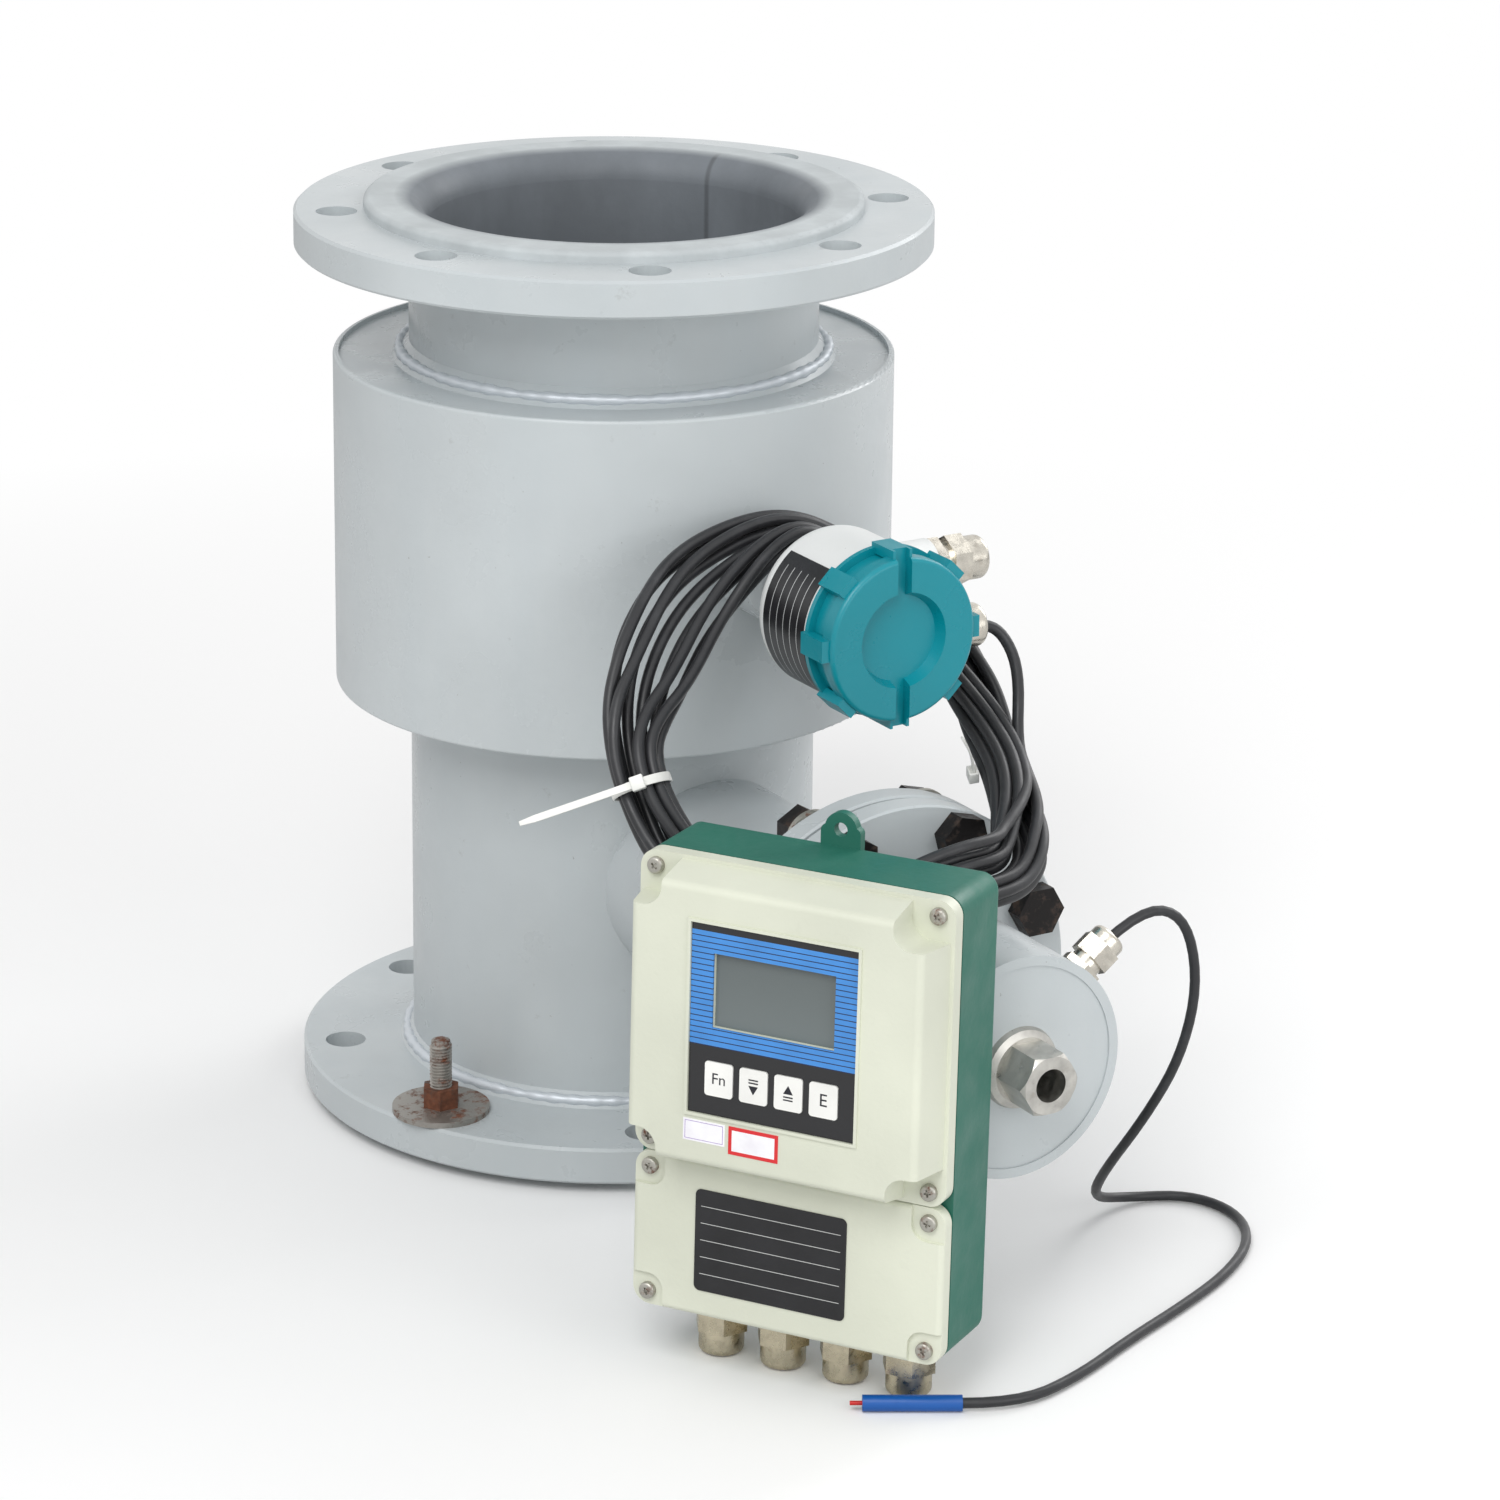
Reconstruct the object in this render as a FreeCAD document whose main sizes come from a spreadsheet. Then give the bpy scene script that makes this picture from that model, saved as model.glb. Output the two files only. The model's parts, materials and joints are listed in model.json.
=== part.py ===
import FreeCAD, Part
import math
import os
import Sketcher

# Electromagnetic flow meter for partly filled pipes, DN200, with its level sensor branch,
# its remote transmitter and the two cables. Millimetres, +Z up along the measuring tube,
# origin at the centre of the lower liner face. The junction box and the level branch face -Y.

os.makedirs("parts", exist_ok=True)
doc = FreeCAD.newDocument("FlowMeter")
sheet = doc.addObject("Spreadsheet::Sheet", "Sizes")

DIMENSIONS = [
    # measuring tube, flanges and rubber liner
    ("total_length", 500, "liner face to liner face"),
    ("pipe_diameter", 219, "outside of the measuring tube"),
    ("pipe_wall", 5, ""),
    ("pipe_setback", 8, "tube end below the flange face"),
    ("liner_thickness", 5, ""),
    ("lip_thickness", 6, "liner folded over the flange"),
    ("lip_diameter", 266, ""),
    ("bell_radius", 15, "rounded mouth of the liner"),
    ("lip_rounding", 3, ""),
    ("flange_diameter", 340, ""),
    ("flange_thickness", 20, ""),
    ("flange_chamfer", 1.5, ""),
    ("bolt_circle", 295, ""),
    ("bolt_hole", 22, ""),
    ("bolt_count", 8, ""),
    ("flange_weld", 7, "fillet weld behind each flange"),
    # coil housing
    ("housing_bottom", 234, "height of the lower edge"),
    ("housing_height", 182, ""),
    ("housing_diameter", 300, ""),
    ("housing_wall", 3, ""),
    ("plate_thickness", 6, ""),
    ("plate_sink", 2.5, "plate below the rolled edge"),
    ("plate_weld", 9, "conical weld around the tube"),
    # field coils, poles, yoke and electrodes
    ("yoke_diameter", 290, ""),
    ("yoke_thickness", 4, ""),
    ("yoke_height", 60, ""),
    ("pole_diameter", 46, ""),
    ("coil_diameter", 94, ""),
    ("coil_thickness", 17, ""),
    ("coil_gap", 4, "coil clear of the tube"),
    ("electrode_diameter", 8, ""),
    ("electrode_head", 18, ""),
    ("electrode_head_thickness", 2, ""),
    ("bush_diameter", 14, "insulating bush in the tube wall"),
    ("bush_collar", 20, ""),
    ("bush_collar_thickness", 3, ""),
    ("electrode_nut", 13, "across flats"),
    ("electrode_nut_thickness", 6, ""),
    ("electrode_end", 4, "thread beyond the nut"),
    ("electrode_seat", 0.5, "flat head on the round liner"),
    # junction box on its neck
    ("junction_height", 333, "height of the box axis"),
    ("junction_back", 213, "back of the box from the tube axis"),
    ("junction_length", 54, ""),
    ("junction_diameter", 83, ""),
    ("junction_wall", 6, ""),
    ("junction_rounding", 12, ""),
    ("neck_diameter", 46, ""),
    ("neck_wall", 4, ""),
    ("wire_hole", 20, "wire passage from box to housing"),
    ("lead_diameter", 8, "bundle of coil and electrode wires"),
    ("lead_gap", 0.3, ""),
    ("thread_diameter", 72, "cover thread in the box"),
    ("thread_depth", 14, ""),
    ("thread_clearance", 0.3, ""),
    ("boss_diameter", 27, "gland boss"),
    ("boss_reach", 47, "boss face from the box axis"),
    ("boss_station", 25, "boss from the box back"),
    ("junction_gland_pitch", 36, ""),
    ("seal_thickness", 1.5, ""),
    ("seal_width", 5.2, ""),
    ("cover_skirt_wall", 4.5, ""),
    ("cover_skirt_depth", 12, ""),
    ("hollow_step", 2, "hollow narrower than the cover thread"),
    ("cover_depth", 22.5, ""),
    ("cover_rim_diameter", 88, "back rim of the cover"),
    ("cover_rim_thickness", 3, ""),
    ("cover_waist_diameter", 80, "wall between the lugs"),
    ("cover_face_diameter", 84, ""),
    ("cover_face_thickness", 9, ""),
    ("cover_face_rounding", 2.5, ""),
    ("cover_lug_diameter", 92, ""),
    ("cover_lug_width", 11, ""),
    ("cover_lug_count", 8, ""),
    ("cover_recess_diameter", 49, ""),
    ("cover_recess_depth", 6, ""),
    ("cover_recess_slope", 2.5, ""),
    ("cover_slot_width", 8, ""),
    ("terminal_width", 44, ""),
    ("terminal_height", 22, ""),
    ("terminal_depth", 16, ""),
    ("label_start", 128, "label on the box side, degrees"),
    ("label_sweep", 104, "degrees"),
    ("label_length", 38, ""),
    ("label_thickness", 0.4, ""),
    ("label_margin", 13, "label edge from the box back"),
    ("label_gap", 0.1, ""),
    # cable glands
    ("gland_thread_diameter", 20, ""),
    ("gland_thread_length", 9, ""),
    ("gland_across_flats", 24, ""),
    ("gland_hex_thickness", 6, ""),
    ("gland_collar_length", 4, ""),
    ("gland_nut_length", 22, ""),
    ("gland_nut_hex", 10, "hexagon part of the dome nut"),
    ("gland_bore", 13, "cable passage of an unused gland"),
    ("cable_clearance", 0.3, "rubber insert around a cable"),
    ("gland_edge", 3, "dome rounding"),
    # level branch
    ("branch_height", 147, "height of the branch axis"),
    ("branch_diameter", 114, "stub and level housing"),
    ("branch_wall", 5, ""),
    ("branch_flange_back", 262, "back of the stub flange from the tube axis"),
    ("branch_flange_diameter", 198, ""),
    ("branch_flange_thickness", 14, ""),
    ("branch_bolt_circle", 170, ""),
    ("branch_bolt_count", 8, ""),
    ("branch_bolt_diameter", 16, ""),
    ("branch_bolt_clearance", 2, "hole over bolt"),
    ("branch_port", 70, "opening through tube and liner"),
    ("branch_weld", 5, ""),
    ("branch_gasket_thickness", 2.5, ""),
    ("branch_gasket_diameter", 148, ""),
    ("branch_gasket_bore", 104, ""),
    ("bolt_head_flats", 24, ""),
    ("bolt_head_thickness", 10, ""),
    ("bolt_nut_thickness", 13, ""),
    ("bolt_washer_diameter", 30, ""),
    ("bolt_washer_thickness", 3, ""),
    ("bolt_spare", 5, "thread beyond the nut"),
    ("level_housing_length", 110, ""),
    ("level_plate_thickness", 6, ""),
    ("level_plate_recess", 1, ""),
    ("coupling_flats", 29, ""),
    ("coupling_length", 27, ""),
    ("coupling_bore", 17, ""),
    ("coupling_collar", 42, "weld collar at the coupling foot"),
    ("coupling_collar_height", 5, ""),
    ("coupling_chamfer", 2, ""),
    ("sensor_diameter", 42, ""),
    ("sensor_collar", 56, ""),
    ("sensor_collar_thickness", 9, ""),
    ("sensor_can", 46, ""),
    ("sensor_can_length", 44, ""),
    ("level_gland_angle", 37, "above +X, degrees"),
    ("level_gland_setback", 20, "gland axis from the housing end"),
    ("level_gland_flats", 19, ""),
    ("level_gland_thread", 14, ""),
    ("level_gland_hex", 4, ""),
    ("level_gland_nut", 17, ""),
    # pallet stud in the lower flange
    ("stud_diameter", 12, ""),
    ("stud_length", 66, ""),
    ("stud_nut_flats", 18, ""),
    ("stud_nut_thickness", 10.8, ""),
    ("stud_washer_diameter", 52, ""),
    ("stud_washer_thickness", 3, ""),
    ("stud_hole_number", 2, "hole counted from the branch side"),
    ("floor_gap", 0.4, "loose pieces above the floor"),
    # transmitter
    ("meter_width", 164, ""),
    ("meter_height", 232, ""),
    ("meter_turn", -57, "front turned from -Y, degrees"),
    ("meter_lean", 2, "degrees"),
    ("meter_side_offset", 262, "gland row centre from the tube axis, along the box front"),
    ("meter_rest_gap", 0.3, "box back clear of the level housing"),
    ("box_depth", 44, ""),
    ("box_wall", 4, ""),
    ("box_rounding", 9, ""),
    ("box_back_rounding", 5, ""),
    ("box_boss", 15, "screw boss"),
    ("box_divider", 11, "wall between the two compartments"),
    ("box_screw_depth", 14, ""),
    ("parting_height", 80, "upper edge of the lower cover above the box foot"),
    ("parting_gap", 0.8, ""),
    ("cover_gasket", 1, ""),
    ("cover_gasket_width", 3.5, ""),
    ("cover_gasket_inset", 1, ""),
    ("upper_flange_depth", 8, "flat rim of the upper cover"),
    ("upper_face_depth", 22, "raised part of the upper cover"),
    ("upper_rim", 2, "raised part inside the rim edge"),
    ("upper_draft", 12, "degrees"),
    ("upper_face_rounding", 4, ""),
    ("upper_wall", 3.5, ""),
    ("scoop_width", 22, "screw scoop from the side edge"),
    ("scoop_height", 20, ""),
    ("scoop_rounding", 10, ""),
    ("lower_cover_depth", 9, ""),
    ("lower_wall", 3.5, ""),
    ("lower_edge_rounding", 3, ""),
    ("lower_pad_size", 17, "sunk screw pad"),
    ("lower_pad_rounding", 8, ""),
    ("lower_pad_depth", 2, ""),
    ("screw_edge_x", 8.5, "screw from the side edge"),
    ("screw_edge_z", 7.5, "screw from the top or foot edge"),
    ("screw_head", 8.4, ""),
    ("screw_head_thickness", 3, ""),
    ("screw_shank", 4, ""),
    ("screw_length", 16, ""),
    ("screw_hole", 4.5, ""),
    ("lug_width", 21, ""),
    ("lug_rise", 17, ""),
    ("lug_thickness", 5, ""),
    ("lug_hole", 7, ""),
    ("lug_shoulder", 4, ""),
    ("meter_gland_pitch", 33.6, ""),
    ("meter_gland_back", 17, "gland axis from the box back"),
    # panel of the transmitter
    ("panel_width", 87, ""),
    ("panel_height", 95, ""),
    ("panel_rise", 4.5, "panel centre above the cover centre"),
    ("panel_frame", 1.5, ""),
    ("panel_frame_rise", 1, ""),
    ("panel_recess", 1.4, ""),
    ("overlay_thickness", 1.1, ""),
    ("window_width", 63.5, ""),
    ("window_height", 37, ""),
    ("window_rise", 14.7, "window centre above the panel centre"),
    ("key_width", 14.6, ""),
    ("key_height", 17, ""),
    ("key_thickness", 1.2, ""),
    ("key_pitch", 18.2, ""),
    ("key_drop", 29, "key row below the panel centre"),
    ("key_gap", 0.25, ""),
    ("key_float", 0.6, "key above the recess floor"),
    ("key_travel", 0.5, ""),
    ("key_rounding", 1.6, ""),
    ("display_thickness", 5, ""),
    ("display_margin", 4, ""),
    ("board_thickness", 1.6, ""),
    ("board_width", 112, ""),
    ("board_height", 98, ""),
    ("board_standoff", 10, ""),
    ("strip_length", 118, "terminal strip"),
    ("strip_height", 20, ""),
    ("strip_depth", 18, ""),
    ("strip_rise", 42, "strip centre above the box foot"),
    ("nameplate_width", 80, ""),
    ("nameplate_height", 52, ""),
    ("nameplate_shift", -8, ""),
    ("nameplate_thickness", 0.5, ""),
    ("nameplate_rounding", 3, ""),
    ("sticker_thickness", 0.2, ""),
    ("sticker_height", 11, ""),
    ("sticker_width", 22, ""),
    ("red_sticker_width", 26, ""),
    ("red_sticker_height", 14, ""),
    ("sticker_gap", 2, ""),
    # cables
    ("sensor_cable_diameter", 6, ""),
    ("bundle_radius", 15, "half the thickness of the hanging coil"),
    ("level_cable_diameter", 5.2, ""),
    ("sleeve_diameter", 8, ""),
    ("sleeve_length", 48, ""),
    ("tip_diameter", 2.2, ""),
    ("tip_length", 6, ""),
    ("tie_width", 4.5, ""),
    ("tie_thickness", 1.4, ""),
    ("tie_gap", 0.5, ""),
    ("tie_head_width", 6, ""),
    ("tie_head_height", 5, ""),
    ("tie_tail_width", 3.5, ""),
    ("tie_long_tail", 72, ""),
    ("tie_short_tail", 7, ""),
    ("sleeve_gap", 0.1, ""),
]

for row, (alias, number, note) in enumerate(DIMENSIONS, start=1):
    sheet.set("A%d" % row, alias)
    sheet.set("B%d" % row, str(number))
    sheet.set("C%d" % row, note)
    sheet.setAlias("B%d" % row, alias)
doc.recompute()


class Size:
    """A length or angle, held as an expression over the sheet's cells and as its value."""

    def __init__(self, text, value):
        self.text = text
        self.value = float(value)

    def __add__(self, other):
        other = as_size(other)
        return Size("(%s + %s)" % (self.text, other.text), self.value + other.value)

    def __radd__(self, other):
        return as_size(other) + self

    def __sub__(self, other):
        other = as_size(other)
        return Size("(%s - %s)" % (self.text, other.text), self.value - other.value)

    def __rsub__(self, other):
        return as_size(other) - self

    def __mul__(self, factor):
        return Size("(%s * %.12g)" % (self.text, factor), self.value * factor)

    def __truediv__(self, factor):
        return self * (1.0 / factor)

    def __neg__(self):
        return self * -1.0


def as_size(number):
    if isinstance(number, Size):
        return number
    return Size("%.12g" % number, number)


class Cells:
    """Gives the sheet's cells as sizes: size.pipe_wall."""

    def __getattr__(self, alias):
        return Size("Sizes." + alias, getattr(sheet, alias))


size = Cells()
ZERO = as_size(0)
X_AXIS = FreeCAD.Vector(1, 0, 0)
Y_AXIS = FreeCAD.Vector(0, 1, 0)
Z_AXIS = FreeCAD.Vector(0, 0, 1)
NODES = []


# ---------------------------------------------------------------- sketches and features

def new_body(label, placement=None, group=False):
    """A body that becomes one file; a group body may hold several loose solids."""
    body = doc.addObject("PartDesign::Body", label)
    body.Label = label
    body.AllowCompound = group
    if placement is not None:
        body.Placement = placement
    NODES.append(body)
    return body


def origin_part(body, role):
    return [part for part in body.Origin.OriginFeatures if part.Role == role][0]


def sketch_on(body, plane, offset=ZERO):
    sketch = body.newObject("Sketcher::SketchObject", body.Label + "_sketch")
    sketch.AttachmentSupport = (origin_part(body, plane + "_Plane"), "")
    sketch.MapMode = "FlatFace"
    sketch.AttachmentOffset = FreeCAD.Placement(FreeCAD.Vector(0, 0, offset.value), FreeCAD.Rotation())
    sketch.setExpression("AttachmentOffset.Base.z", offset.text)
    return sketch


def constrain(sketch, number, *details):
    index = sketch.addConstraint(Sketcher.Constraint(*details, number.value))
    sketch.setExpression("Constraints[%d]" % index, number.text)


def pin(sketch, element, point, place):
    """Ties a point to its place (across, up), measured from the sketch's origin."""
    for name, number, axis in (("DistanceX", place[0], -2), ("DistanceY", place[1], -1)):
        if number.text == ZERO.text:
            sketch.addConstraint(Sketcher.Constraint("PointOnObject", element, point, axis))
        else:
            constrain(sketch, number, name, -1, 1, element, point)


def outline(sketch, points):
    """Closed outline of straight lines through the given places."""
    points = [(as_size(across), as_size(up)) for across, up in points]
    vectors = [FreeCAD.Vector(across.value, up.value, 0) for across, up in points]
    first = None
    for number, start in enumerate(vectors):
        end = vectors[(number + 1) % len(vectors)]
        line = sketch.addGeometry(Part.LineSegment(start, end), False)
        first = line if first is None else first
        if number:
            sketch.addConstraint(Sketcher.Constraint("Coincident", line - 1, 2, line, 1))
    sketch.addConstraint(Sketcher.Constraint("Coincident", line, 2, first, 1))
    for number, place in enumerate(points):
        pin(sketch, first + number, 1, place)


def circle(sketch, radius, across=ZERO, up=ZERO):
    centre = FreeCAD.Vector(across.value, up.value, 0)
    ring = sketch.addGeometry(Part.Circle(centre, Z_AXIS, radius.value), False)
    constrain(sketch, radius, "Radius", ring)
    pin(sketch, ring, 3, (across, up))


def rectangle(sketch, left, right, low, high):
    outline(sketch, [(left, low), (right, low), (right, high), (left, high)])


def rounded_rectangle(sketch, left, right, low, high, radius):
    """Four lines and four equal arcs, each joined smoothly to the next."""
    l, r, b, t, c = (number.value for number in (left, right, low, high, radius))
    corners = [(r - c, b + c, -90), (r - c, t - c, 0), (l + c, t - c, 90), (l + c, b + c, 180)]
    sides = [((l + c, b), (r - c, b)), ((r, b + c), (r, t - c)), ((r - c, t), (l + c, t)), ((l, t - c), (l, b + c))]
    lines = []
    arcs = []
    for (start, end), (across, up, turn) in zip(sides, corners):
        segment = Part.LineSegment(FreeCAD.Vector(*start, 0), FreeCAD.Vector(*end, 0))
        lines.append(sketch.addGeometry(segment, False))
        ring = Part.Circle(FreeCAD.Vector(across, up, 0), Z_AXIS, c)
        arc = Part.ArcOfCircle(ring, math.radians(turn), math.radians(turn + 90))
        arcs.append(sketch.addGeometry(arc, False))
    for number in range(4):
        following = lines[(number + 1) % 4]
        sketch.addConstraint(Sketcher.Constraint("Tangent", lines[number], 2, arcs[number], 1))
        sketch.addConstraint(Sketcher.Constraint("Tangent", arcs[number], 2, following, 1))
        direction = "Horizontal" if number % 2 == 0 else "Vertical"
        sketch.addConstraint(Sketcher.Constraint(direction, lines[number]))
    for arc in arcs[1:]:
        sketch.addConstraint(Sketcher.Constraint("Equal", arcs[0], arc))
    constrain(sketch, radius, "Radius", arcs[0])
    constrain(sketch, low, "DistanceY", -1, 1, lines[0], 1)
    constrain(sketch, right, "DistanceX", -1, 1, lines[1], 1)
    constrain(sketch, high, "DistanceY", -1, 1, lines[2], 1)
    constrain(sketch, left, "DistanceX", -1, 1, lines[3], 1)


def hexagon(sketch, flats, across=ZERO, up=ZERO, turn=0):
    corner = flats / math.sqrt(3)
    angles = [math.radians(60 * number + turn) for number in range(6)]
    outline(sketch, [(across + corner * math.cos(a), up + corner * math.sin(a)) for a in angles])


def add_feature(body, kind, sketch):
    feature = body.newObject("PartDesign::" + kind, body.Label + "_" + kind.lower())
    feature.Profile = sketch
    sketch.Visibility = False
    return feature


def pad(body, sketch, length, reverse=False, draft=None):
    feature = add_feature(body, "Pad", sketch)
    feature.setExpression("Length", length.text)
    feature.Reversed = reverse
    if draft is not None:
        feature.setExpression("TaperAngle", draft.text)
    doc.recompute()
    return feature


def pocket(body, sketch, length, reverse=False):
    feature = add_feature(body, "Pocket", sketch)
    feature.setExpression("Length", length.text)
    feature.Reversed = reverse
    doc.recompute()
    return feature


def through(body, sketch):
    """Cuts the sketch through everything, both ways."""
    feature = add_feature(body, "Pocket", sketch)
    feature.Type = "ThroughAll"
    feature.Midplane = True
    doc.recompute()
    return feature


def revolve(body, sketch, kind="Revolution"):
    feature = add_feature(body, kind, sketch)
    feature.ReferenceAxis = (sketch, ["V_Axis"])
    feature.Angle = 360
    doc.recompute()
    return feature


def turned(label, points, placement=None):
    """A body turned about its own Z axis from a profile of (radius, height) places."""
    body = new_body(label, placement)
    sketch = sketch_on(body, "XZ")
    outline(sketch, points)
    revolve(body, sketch)
    return body


def polar(body, features, count):
    pattern = body.newObject("PartDesign::PolarPattern", body.Label + "_pattern")
    pattern.Originals = features
    pattern.Axis = (origin_part(body, "Z_Axis"), [""])
    pattern.Angle = 360
    pattern.setExpression("Occurrences", count.text)
    body.Tip = pattern
    doc.recompute()
    return pattern


def edges_where(feature, wanted):
    names = []
    for number, edge in enumerate(feature.Shape.Edges, start=1):
        if wanted(edge):
            names.append("Edge%d" % number)
    return names


def ring_edges(feature, radius, height):
    """Circular edges about the body's Z axis with this radius and height."""
    def wanted(edge):
        curve = edge.Curve
        if not isinstance(curve, Part.Circle):
            return False
        return abs(curve.Radius - radius.value) < 0.01 and abs(curve.Center.z - height.value) < 0.01
    return edges_where(feature, wanted)


def flat_edges(feature, axis, level, smallest=0):
    """Edges that lie whole in the plane axis = level."""
    def wanted(edge):
        box = edge.BoundBox
        near = getattr(box, axis + "Min"), getattr(box, axis + "Max")
        return abs(near[0] - level.value) < 0.01 and abs(near[1] - level.value) < 0.01 and edge.Length > smallest
    return edges_where(feature, wanted)


def dress(body, kind, property_name, base, names, number):
    feature = body.newObject("PartDesign::" + kind, body.Label + "_" + kind.lower())
    feature.Base = (base, names)
    feature.setExpression(property_name, number.text)
    doc.recompute()
    return feature


def fillet(body, base, names, radius):
    return dress(body, "Fillet", "Radius", base, names, radius)


def chamfer(body, base, names, width):
    return dress(body, "Chamfer", "Size", base, names, width)


def cylinder(name, radius, length, place, direction=Z_AXIS):
    """Part cylinder from a place along a direction."""
    part = doc.addObject("Part::Cylinder", name)
    part.setExpression("Radius", radius.text)
    part.setExpression("Height", length.text)
    part.Placement = FreeCAD.Placement(place, FreeCAD.Rotation(Z_AXIS, direction))
    return part


def block(name, sides, corner):
    part = doc.addObject("Part::Box", name)
    for property_name, number in zip(("Length", "Width", "Height"), sides):
        part.setExpression(property_name, number.text)
    part.Placement.Base = corner
    return part


def combine(kind, name, first, *others):
    """Part::Cut, Part::Fuse or Part::Common of the first with each other in turn."""
    result = first
    for number, other in enumerate(others, start=1):
        last = number == len(others)
        step = doc.addObject("Part::" + kind, name if last else "%s_step%d" % (name, number))
        step.Base = result
        step.Tool = other
        result = step
    return result


def node(feature, label, placement=None):
    feature.Label = label
    if placement is not None:
        feature.Placement = placement
    NODES.append(feature)
    doc.recompute()
    return feature


# ---------------------------------------------------------------- shared sizes

pipe_radius = size.pipe_diameter / 2
pipe_inside = pipe_radius - size.pipe_wall
bore_radius = pipe_inside - size.liner_thickness
flange_radius = size.flange_diameter / 2
lower_face = size.lip_thickness
upper_face = size.total_length - size.lip_thickness
housing_radius = size.housing_diameter / 2
housing_inside = housing_radius - size.housing_wall
housing_top = size.housing_bottom + size.housing_height
housing_middle = size.housing_bottom + size.housing_height / 2
yoke_outside = size.yoke_diameter / 2
yoke_inside = yoke_outside - size.yoke_thickness
hole_turn = 180.0 / size.bolt_count.value

# Frames whose Z axis points outwards along -Y, for the junction box and the level branch.
OUTWARD = FreeCAD.Rotation(X_AXIS, 90)
junction_frame = FreeCAD.Placement(FreeCAD.Vector(0, 0, size.junction_height.value), OUTWARD)
branch_frame = FreeCAD.Placement(FreeCAD.Vector(0, 0, size.branch_height.value), OUTWARD)


def side_hole(body, plane, radius, up, across=ZERO):
    sketch = sketch_on(body, plane)
    circle(sketch, radius, across, up)
    return sketch


# ---------------------------------------------------------------- measuring tube and flanges

def measuring_tube():
    low = lower_face + size.pipe_setback
    high = upper_face - size.pipe_setback
    body = turned("measuring_tube", [(pipe_inside, low), (pipe_radius, low), (pipe_radius, high), (pipe_inside, high)])
    through(body, side_hole(body, "YZ", size.bush_diameter / 2, housing_middle))
    port = side_hole(body, "XZ", size.branch_port / 2 + size.liner_thickness, size.branch_height)
    pocket(body, port, flange_radius, reverse=True)


def rubber_liner():
    """Bore lining, stepped over the tube ends and folded flat over both flange faces."""
    lip = size.lip_diameter / 2
    tube_low = lower_face + size.pipe_setback
    tube_high = upper_face - size.pipe_setback
    body = turned("rubber_liner", [
        (bore_radius, ZERO), (lip, ZERO), (lip, lower_face), (pipe_radius, lower_face),
        (pipe_radius, tube_low), (pipe_inside, tube_low), (pipe_inside, tube_high),
        (pipe_radius, tube_high), (pipe_radius, upper_face), (lip, upper_face),
        (lip, size.total_length), (bore_radius, size.total_length)])
    base = body.Tip
    mouths = ring_edges(base, bore_radius, ZERO) + ring_edges(base, bore_radius, size.total_length)
    base = fillet(body, base, mouths, size.bell_radius)
    rims = ring_edges(base, lip, ZERO) + ring_edges(base, lip, size.total_length)
    fillet(body, base, rims, size.lip_rounding)
    through(body, side_hole(body, "YZ", size.electrode_diameter / 2, housing_middle))
    port = side_hole(body, "XZ", size.branch_port / 2, size.branch_height)
    pocket(body, port, flange_radius, reverse=True)


def pipe_flange(label, face, back, weld_end):
    """Slip-on flange between its sealing face and its back, with the fillet weld at the back."""
    weld = pipe_radius + size.flange_weld
    body = turned(label, [
        (pipe_radius, face), (flange_radius, face), (flange_radius, back), (weld, back), (pipe_radius, weld_end)])
    base = body.Tip
    rims = ring_edges(base, flange_radius, face) + ring_edges(base, flange_radius, back)
    chamfer(body, base, rims, size.flange_chamfer)
    sketch = sketch_on(body, "XY", face)
    angle = math.radians(hole_turn - 90)
    circle(sketch, size.bolt_hole / 2, size.bolt_circle * (math.cos(angle) / 2), size.bolt_circle * (math.sin(angle) / 2))
    polar(body, [through(body, sketch)], size.bolt_count)


def pipe_flanges():
    low_back = lower_face + size.flange_thickness
    high_back = upper_face - size.flange_thickness
    pipe_flange("lower_flange", lower_face, low_back, low_back + size.flange_weld)
    pipe_flange("upper_flange", upper_face, high_back, high_back - size.flange_weld)


# ---------------------------------------------------------------- coil housing and its inside

def coil_housing():
    body = turned("coil_housing_shell", [
        (housing_inside, size.housing_bottom), (housing_radius, size.housing_bottom),
        (housing_radius, housing_top), (housing_inside, housing_top)])
    base = body.Tip
    rims = ring_edges(base, housing_radius, size.housing_bottom) + ring_edges(base, housing_radius, housing_top)
    fillet(body, base, rims, size.housing_wall * 0.6)
    hole = side_hole(body, "XZ", size.wire_hole / 2, size.junction_height)
    pocket(body, hole, housing_radius + size.housing_wall, reverse=True)
    plates = new_body("housing_end_plates", group=True)
    profile = sketch_on(plates, "XZ")
    for edge, way in ((housing_top, -1), (size.housing_bottom, 1)):
        outer = edge + size.plate_sink * way
        inner = outer + size.plate_thickness * way
        outline(profile, [
            (pipe_radius, inner), (housing_inside, inner), (housing_inside, outer),
            (pipe_radius + size.plate_weld, outer), (pipe_radius, outer - size.plate_weld * way)])
    revolve(plates, profile)


def level_rod(name, radius, reach, height):
    """Cylinder along Y through the tube axis, reaching as far to both sides."""
    return cylinder(name, radius, reach * 2, FreeCAD.Vector(0, -reach.value, height.value), Y_AXIS)


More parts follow.
